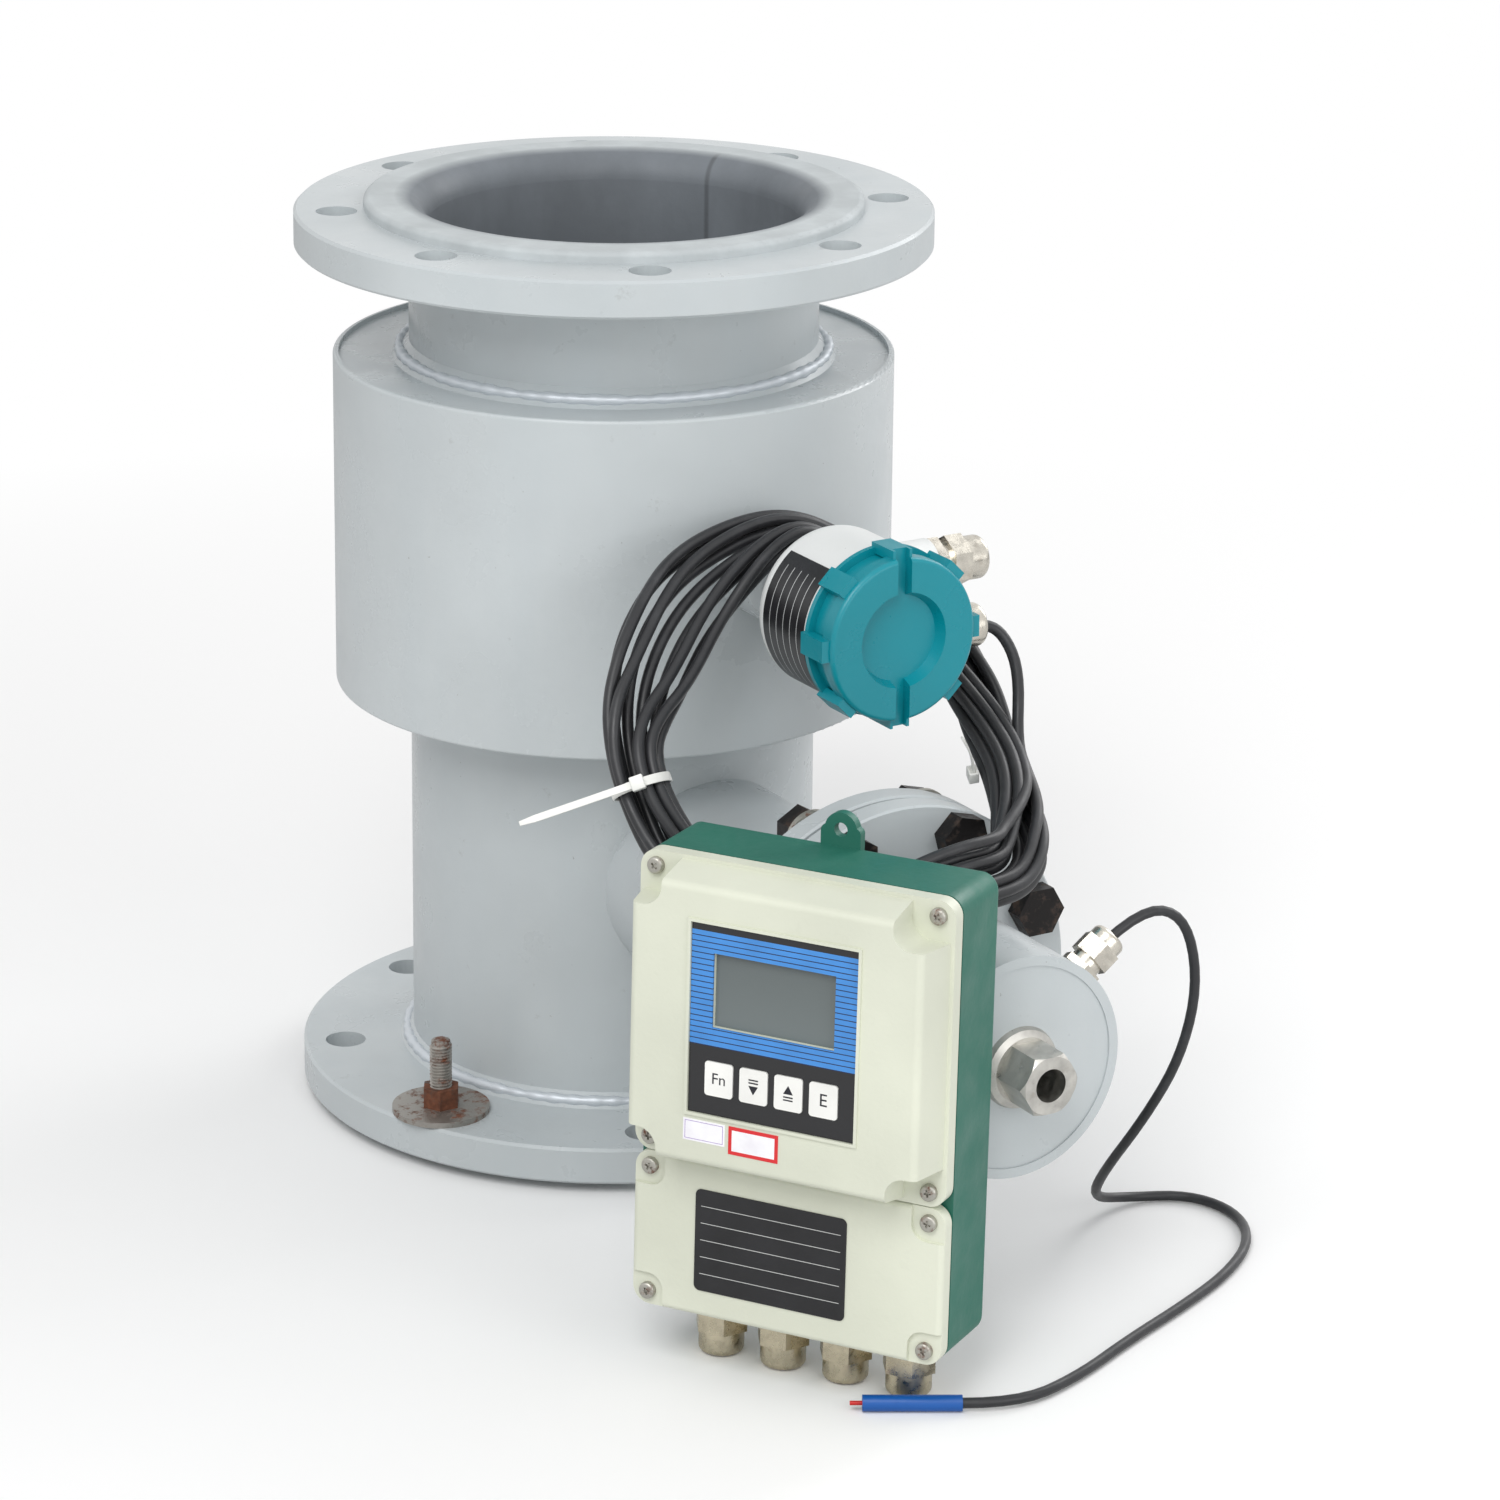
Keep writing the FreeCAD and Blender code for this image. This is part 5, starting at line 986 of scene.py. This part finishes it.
class METER_OT_key_legends(bpy.types.Operator):
    """Prints the legends on the four keys"""

    bl_idname = "meter.key_legends"
    bl_label = "Key legends"

    def execute(self, context):
        sizes = context.scene.meter_sizes
        ink = plastic("legend_ink", linear(22, 24, 34), 0.5)
        for node in ("key_function", "key_down", "key_up", "key_enter"):
            low, high = meter_box(node)
            place = Vector(((low.x + high.x) / 2, low.y - sizes.legend_rise / 2, (low.z + high.z) / 2))
            if node == "key_function":
                legend = printed("Fn", 8, place, sizes)
            elif node == "key_enter":
                legend = printed("E", 9, place, sizes)
            else:
                up = node == "key_up"
                place.z += 1.2 * MM if up else -1.2 * MM
                legend = arrow(up, place, sizes)
            settle(legend, node.replace("key", "legend"), ink, node, place=meter_matrix())
        return {"FINISHED"}


class METER_OT_welds(bpy.types.Operator):
    """Lays the weld beads at the flanges and on the coil housing"""

    bl_idname = "meter.welds"
    bl_label = "Weld beads"

    def execute(self, context):
        thickness = context.scene.meter_sizes.bead / MM
        beads = []
        for radius, height in ((112.6, 29), (112.6, 471), (114.4, 417.4)):
            beads.append(weld_bead(radius, height, thickness))
        seam = joined(beads)
        settle(seam, "weld_beads", bpy.data.materials["grey_paint"])
        return {"FINISHED"}


class METER_OT_flange_stud(bpy.types.Operator):
    """Cuts the thread of the stud left in the lower flange"""

    bl_idname = "meter.flange_stud"
    bl_label = "Flange stud"

    def execute(self, context):
        sizes = context.scene.meter_sizes
        low, high = (Vector(corner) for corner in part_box("flange_stud"))
        radius = (high.x - low.x) / 2
        length = high.z - low.z
        core = stud_core(radius - sizes.thread_depth, length)
        ridge = thread_ridge(radius, length, sizes)
        stud = joined([core, ridge])
        smoothed(stud, 40)
        place = Matrix.Translation(((low.x + high.x) / 2, (low.y + high.y) / 2, low.z))
        settle(stud, "threaded_stud", bpy.data.materials["stained_steel"], place=place)
        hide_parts("flange_stud")
        return {"FINISHED"}


# ---------------------------------------------------------------- stage

CAMERA_PLACE = (-1.3398, -2.3641, 1.1272)
CAMERA_LENS = 126.07
CAMERA_SHIFT = (0.03216, -0.21085)
CAMERA_YAW = 0.0094285
CAMERA_PITCH = 0.272473
CAMERA_ROLL = 0.0078963
STAGE_TURN = math.radians(-30)


def floor_finish():
    """Pale matt floor, which the camera sees fade to plain white away from the object."""
    finish = Finish("floor", roughness=0.85, Specular_IOR_Level=0.1)
    tone = finish.mix(finish.noise(3, 2), linear(226, 226, 226), linear(232, 232, 232))
    seen = finish.add("ShaderNodeLightPath").outputs["Is Camera Ray"]
    finish.feed("Base Color", finish.mix(seen, tone, linear(252, 252, 252)))
    far = finish.span(finish.radius(), 0.4, 1.3)
    backdrop = finish.add("ShaderNodeEmission")
    blend = finish.add("ShaderNodeMixShader")
    finish.plug(blend.inputs[0], finish.math("MULTIPLY", seen, far))
    finish.plug(blend.inputs[1], finish.surface.outputs[0])
    finish.plug(blend.inputs[2], backdrop.outputs[0])
    finish.plug(finish.tree.nodes["Material Output"].inputs["Surface"], blend.outputs[0])
    return finish.material


def studio_world():
    """Soft light from all round, which the camera and reflections see as white."""
    world = bpy.data.worlds.new("studio")
    world.use_nodes = True
    nodes = world.node_tree.nodes
    links = world.node_tree.links
    nodes.clear()
    blend = nodes.new("ShaderNodeMixShader")
    for socket, strength in ((1, 0.55), (2, 1.0)):
        background = nodes.new("ShaderNodeBackground")
        background.inputs["Color"].default_value = (1, 1, 1, 1)
        background.inputs["Strength"].default_value = strength
        links.new(background.outputs[0], blend.inputs[socket])
    rays = nodes.new("ShaderNodeLightPath")
    either = nodes.new("ShaderNodeMath")
    either.operation = "MAXIMUM"
    links.new(rays.outputs["Is Camera Ray"], either.inputs[0])
    links.new(rays.outputs["Is Glossy Ray"], either.inputs[1])
    links.new(either.outputs[0], blend.inputs[0])
    out = nodes.new("ShaderNodeOutputWorld")
    links.new(blend.outputs[0], out.inputs["Surface"])
    return world


def lamp(name, place, size, power):
    """A soft rectangular light that faces the meter."""
    light = bpy.data.lights.new(name, "AREA")
    light.shape = "RECTANGLE"
    light.size, light.size_y = size
    light.energy = power
    holder = bpy.data.objects.new(name, light)
    bpy.context.collection.objects.link(holder)
    holder.location = place
    holder.rotation_euler = (Vector((0, -0.12, 0.25)) - Vector(place)).to_track_quat("-Z", "Y").to_euler()


def camera_axes():
    """Right, up and ahead of the camera."""
    level = math.cos(CAMERA_PITCH)
    ahead = Vector((math.sin(CAMERA_YAW) * level, math.cos(CAMERA_YAW) * level, -math.sin(CAMERA_PITCH)))
    right = Vector((math.cos(CAMERA_YAW), -math.sin(CAMERA_YAW), 0))
    up = right.cross(ahead)
    tipped_right = right * math.cos(CAMERA_ROLL) + up * math.sin(CAMERA_ROLL)
    tipped_up = up * math.cos(CAMERA_ROLL) - right * math.sin(CAMERA_ROLL)
    turn = Matrix.Rotation(STAGE_TURN, 3, "Z")
    return turn @ tipped_right, turn @ tipped_up, turn @ ahead


def stage_camera():
    """The camera, which looks down at the meter from its front left."""
    camera = bpy.data.cameras.new("camera")
    camera.lens = CAMERA_LENS
    camera.sensor_width = 36
    camera.shift_x, camera.shift_y = CAMERA_SHIFT
    camera.clip_end = 100
    holder = bpy.data.objects.new("camera", camera)
    bpy.context.collection.objects.link(holder)
    right, up, ahead = camera_axes()
    turn = Matrix((right, up, -ahead)).transposed().to_4x4()
    holder.matrix_world = Matrix.Translation(CAMERA_PLACE) @ turn
    return holder


class METER_OT_stage(bpy.types.Operator):
    """Sets the pale floor, the soft lights and the camera"""

    bl_idname = "meter.stage"
    bl_label = "Stage"

    def execute(self, context):
        scene = context.scene
        floor = primitive("plane", size=60)
        floor.name = "floor"
        floor.data.materials.append(floor_finish())
        scene.world = studio_world()
        lamp("key_light", (-1.6, -1.5, 2.3), (1.6, 1.6), 44)
        lamp("front_fill", (0.4, -2.6, 0.9), (1.8, 1.2), 14)
        lamp("right_rim", (1.9, 0.2, 1.4), (1.0, 1.6), 16)
        scene.camera = stage_camera()
        scene.view_settings.view_transform = "Standard"
        return {"FINISHED"}


class METER_PT_panel(bpy.types.Panel):
    """Lists the meter's sizes, colours and pieces"""

    bl_idname = "METER_PT_panel"
    bl_label = "Flow meter"
    bl_space_type = "VIEW_3D"
    bl_region_type = "UI"
    bl_category = "Flow meter"

    def draw(self, context):
        for group in (context.scene.meter_sizes, context.scene.meter_colours):
            box = self.layout.box()
            for name in type(group).__annotations__:
                box.prop(group, name)
        for piece in PIECES:
            self.layout.operator(piece.bl_idname)


PIECES = (
    METER_OT_finishes, METER_OT_sensor_cable, METER_OT_cable_ties, METER_OT_level_cable,
    METER_OT_cover_screws, METER_OT_key_legends, METER_OT_welds, METER_OT_flange_stud, METER_OT_stage)
CLASSES = (MeterColours, MeterSizes, *PIECES, METER_PT_panel)


def register():
    for kind in CLASSES:
        bpy.utils.register_class(kind)
    bpy.types.Scene.meter_colours = bpy.props.PointerProperty(type=MeterColours)
    bpy.types.Scene.meter_sizes = bpy.props.PointerProperty(type=MeterSizes)


def unregister():
    del bpy.types.Scene.meter_sizes
    del bpy.types.Scene.meter_colours
    for kind in reversed(CLASSES):
        bpy.utils.unregister_class(kind)


def main():
    register()
    for piece in PIECES:
        module, action = piece.bl_idname.split(".")
        getattr(getattr(bpy.ops, module), action)()


if __name__ == "__main__":
    main()
